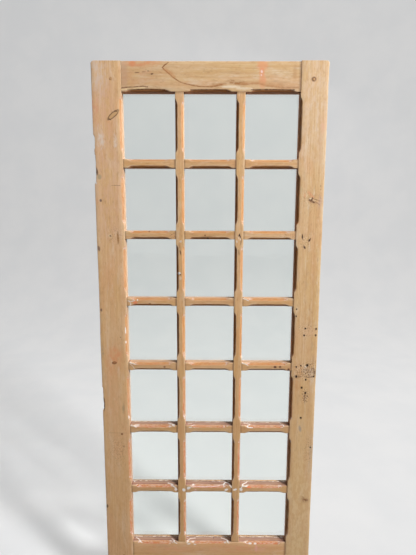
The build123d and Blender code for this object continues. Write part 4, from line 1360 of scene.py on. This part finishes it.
def makeGlass():
    # clear drawn sheet glass, faintly green, with a slow ripple
    material, tree = newMaterial("oldSheetGlass")
    place = put(tree, "ShaderNodeTexCoord").outputs["Object"]
    ripple = grainNoise(tree, place, 9, 26, 2.0)
    seeds = noiseAt(tree, place, 420.0, 0.0)
    dust = ramp(tree, noiseAt(tree, place, 34.0, 5.0, 0.65), 0.45, 0.8, 0.0, glass["dust"])
    height = calc(tree, "MULTIPLY_ADD", ramp(tree, seeds, 0.78, 0.84), 0.2, ripple)
    finishSurface(tree, glass["tint"], calc(tree, "ADD", dust, glass["polish"]), height, glass["bump"],
                  {"Transmission Weight": 1.0, "IOR": glass["ior"]})
    return material


def makePane(row, side):
    low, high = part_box(f"pane_{row}_{side}")
    xs = np.linspace(low.x, high.x, glass["across"])
    zs = np.linspace(low.z, high.z, glass["up"])
    places, faces = [], []
    for y, way in ((low.y, 1), (high.y, -1)):
        for j, z in enumerate(zs):
            for i, x in enumerate(xs):
                inside = min(i, j, len(xs) - 1 - i, len(zs) - 1 - j) > 0
                dip = 0.5 + 0.5 * noise.noise(Vector((x * 11, way * 3.7, z * 17 + row)))
                places.append((x, y + way * glass["wave"] * dip * inside, z))
    across, total = len(xs), len(xs) * len(zs)
    for j in range(len(zs) - 1):
        for i in range(across - 1):
            a = j * across + i
            faces.append((a, a + 1, a + 1 + across, a + across))
            faces.append((total + a, total + a + across, total + a + 1 + across, total + a + 1))
    rim = [(i, 0) for i in range(across)] + [(across - 1, j) for j in range(1, len(zs))]
    rim += [(i, len(zs) - 1) for i in range(across - 2, -1, -1)] + [(0, j) for j in range(len(zs) - 2, 0, -1)]
    loop = [j * across + i for i, j in rim]
    for a, b in zip(loop, loop[1:] + loop[:1]):
        faces.append((a, a + total, b + total, b))
    return meshOf(f"pane{row}{side.capitalize()}", [(places, faces)])


glassFinish = makeGlass()
for row in rows:
    for side in columns:
        pane = makePane(row, side)
        dress(pane, glassFinish, "window_glass", f"pane_{row}_{side}")
        pane.visible_shadow = False
print("panes made")


# The beads behind the glass

beads = {
    # across the rebate and behind the glass, round the section; the splay runs from the sixth to the eighth
    "profile": [(0.0, 0.0002), (0.0003, 0.0), (0.0056, 0.0), (0.006, 0.0004), (0.00595, 0.0017),
                (0.0056, 0.0027), (0.0041, 0.0062), (0.0028, 0.0096), (0.0023, 0.0104), (0.0003, 0.0105),
                (0.0, 0.0102)],
    "gap": 0.0001,                      # left open at a mitre, on each side
    "wave": 0.00016,                    # how uneven the planed sides are
    "pith": (0.0, 0.2, 0.0),
    "offset": (0.0, 0.0, 20.0),
    "tint": (0.52, 0.45, 0.39),
    "iron": rgb(78, 58, 46),            # the old pins' heads
    "pinRadius": 0.0009,
    "pinFromEnd": 0.032,
    "pinStray": 0.004,                  # how far a pin may stand from its even place
    "pinsEach": 3,
    # above the splay, share of the radius
    "pinLevels": [(-0.0006, 1.0), (0.00008, 1.0), (0.00014, 0.72)],
    "pinSides": 10,
    "seed": 77,
}


def makeBead(corner, along, inward, length, seed):
    count = int(length / 0.012)
    rings = []
    for i in range(count + 1):
        ring = []
        for deepIn, deepBack in beads["profile"]:
            ends = beads["gap"] + deepIn
            s = ends + (length - 2 * ends) * i / count
            wave = 0.5 + 0.5 * noise.noise(Vector((s * 30, deepIn * 300, seed)))
            dip = beads["wave"] * wave if deepIn > 0.001 else 0
            ring.append(corner + along * s + inward * (deepIn - dip) + Vector((0, deepBack, 0)))
        rings.append(ring)
    return makeLoft(rings)


def makePin(corner, along, inward, s):
    # the head of a pin driven into the middle of the splay
    start, seat, end = beads["profile"][5:8]
    run = (end[0] - start[0], end[1] - start[1])
    out = (inward * run[1] - Vector((0, run[0], 0))).normalized()
    middle = corner + along * s + inward * seat[0] + Vector((0, seat[1], 0))
    across = out.cross(along)
    turns = np.linspace(0, 2 * math.pi, beads["pinSides"], endpoint=False)
    spokes = [along * math.cos(turn) + across * math.sin(turn) for turn in turns]
    return makeLoft([[middle + out * height + spoke * (beads["pinRadius"] * share) for spoke in spokes]
                     for height, share in beads["pinLevels"]])


beadFinish = makePine("beadPine", True, beads)
right, up = Vector((1, 0, 0)), Vector((0, 0, 1))
for row in rows:
    bodies, tones, irons = [], [], []
    chance = np.random.default_rng(beads["seed"] + row)
    for side in columns:
        x0, x1, z0, z1 = openings[row, side]
        rebate = leaf["rebate"]
        x0, x1, z0, z1 = x0 - rebate, x1 + rebate, z0 - rebate, z1 + rebate
        y = glassLine + glass["thickness"]
        for corner, along, inward, length in (
                (Vector((x1, y, z0)), -right, up, x1 - x0), (Vector((x0, y, z0)), up, right, z1 - z0),
                (Vector((x0, y, z1)), right, -up, x1 - x0), (Vector((x1, y, z1)), -up, -right, z1 - z0)):
            bodies.append(makeBead(corner, along, inward, length, chance.uniform(0, 50)))
            tones.append(chance.uniform(0.25, 0.85))
            irons.append(0)
            for s in np.linspace(beads["pinFromEnd"], length - beads["pinFromEnd"], beads["pinsEach"]):
                stray = chance.uniform(-beads["pinStray"], beads["pinStray"])
                bodies.append(makePin(corner, along, inward, s + stray))
                tones.append(0.5)
                irons.append(1)
    piece = meshOf(f"beadsRow{row}", bodies, tone=tones, iron=irons)
    dress(piece, beadFinish, "bead_pine", f"beads_row_{row}")
print("beads made")


# The studio

studio = {"floorFront": -14.0, "curveStart": 3.0, "curveRadius": 1.5, "curveSteps": 12, "wallTop": 9.0,
          "halfWidth": 30, "floorDrop": 0.0005,
          "seen": (0.8, 0.805, 0.81, 1), "mottled": (0.83, 0.83, 0.83, 1), "glow": 0.95,
          "bounce": (0.045, 0.036, 0.028, 1), "wallBounce": (0.74, 0.71, 0.68, 1),
          "shadowShare": 0.45, "fill": 0.045,
          "key": 520.0, "keyPlace": (4.1, -3.7, 4.3), "keySize": 1.1, "aim": (0.0, 0.0, 1.2),
          "back": 55.0, "backPlace": (1.4, 3.2, 4.6), "backSize": 2.2}


def seenDirectly(tree):
    # 1 where the camera looks, also through glass or in a reflection
    path = put(tree, "ShaderNodeLightPath").outputs
    return calc(tree, "MAXIMUM", path["Is Camera Ray"],
                calc(tree, "MAXIMUM", path["Is Glossy Ray"], path["Is Transmission Ray"]))


def makeSweep():
    # a pale floor that curves up into a backdrop behind the door
    begin, radius, steps = studio["curveStart"], studio["curveRadius"], studio["curveSteps"]
    outline = [(studio["floorFront"], 0.0), (begin, 0.0)]
    for k in range(1, steps + 1):
        turn = math.pi / 2 * k / steps
        outline.append((begin + radius * math.sin(turn), radius - radius * math.cos(turn)))
    outline.append((begin + radius, studio["wallTop"]))
    wide = studio["halfWidth"]
    places = [(x, y, z - studio["floorDrop"]) for y, z in outline for x in (-wide, wide)]
    faces = [(2 * i, 2 * i + 1, 2 * i + 3, 2 * i + 2) for i in range(len(outline) - 1)]
    mesh = bpy.data.meshes.new("sweep")
    mesh.from_pydata(places, [], faces)
    mesh.shade_smooth()
    sweep = bpy.data.objects.new("sweep", mesh)
    bpy.context.scene.collection.objects.link(sweep)
    material, tree = newMaterial("paleSweep")
    place = put(tree, "ShaderNodeTexCoord").outputs["Object"]
    mottle = noiseAt(tree, place, 3.0, 4.0)
    colour = blendColour(tree, ramp(tree, mottle, 0.3, 0.7), studio["seen"], studio["mottled"])
    seen = seenDirectly(tree)
    behind = ramp(tree, put(tree, "ShaderNodeSeparateXYZ", {0: place}).outputs["Y"], 2.4, 3.6)
    bounce = blendColour(tree, behind, studio["bounce"], studio["wallBounce"])
    base = blendColour(tree, seen, bounce, colour)
    lit = put(tree, "ShaderNodeBsdfDiffuse", {"Color": base, "Roughness": 0.9}).outputs[0]
    flat = put(tree, "ShaderNodeEmission", {"Color": colour, "Strength": studio["glow"]}).outputs[0]
    share = times(tree, seen, 1 - studio["shadowShare"])
    mixed = put(tree, "ShaderNodeMixShader", {0: share, 1: lit, 2: flat}).outputs[0]
    put(tree, "ShaderNodeOutputMaterial", {"Surface": mixed})
    mesh.materials.append(material)


def makeWorld():
    # pale to the camera and in reflections, a gentle fill for everything else
    world = bpy.data.worlds.new("studioAir")
    bpy.context.scene.world = world
    world.use_nodes = True
    tree = world.node_tree
    tree.nodes.clear()
    fill = put(tree, "ShaderNodeBackground", {"Color": (1, 1, 1, 1), "Strength": studio["fill"]}).outputs[0]
    shown = put(tree, "ShaderNodeBackground", {"Color": studio["seen"], "Strength": 1.0}).outputs[0]
    mixed = put(tree, "ShaderNodeMixShader", {0: seenDirectly(tree), 1: fill, 2: shown}).outputs[0]
    put(tree, "ShaderNodeOutputWorld", {"Surface": mixed})


def makeLamp(name, place, aim, size, power):
    lamp = bpy.data.lights.new(name, "AREA")
    lamp.shape = "DISK"
    lamp.size = size
    lamp.energy = power
    holder = bpy.data.objects.new(name, lamp)
    holder.location = place
    holder.rotation_euler = (Vector(aim) - Vector(place)).to_track_quat("-Z", "Y").to_euler()
    bpy.context.scene.collection.objects.link(holder)
    return holder


makeSweep()
makeWorld()
makeLamp("keyLamp", studio["keyPlace"], studio["aim"], studio["keySize"], studio["key"])
backLamp = makeLamp("backLamp", studio["backPlace"], studio["aim"], studio["backSize"], studio["back"])
backLamp.visible_camera = backLamp.visible_transmission = backLamp.visible_glossy = False
bpy.context.scene.view_settings.view_transform = "Standard"
print("studio made")
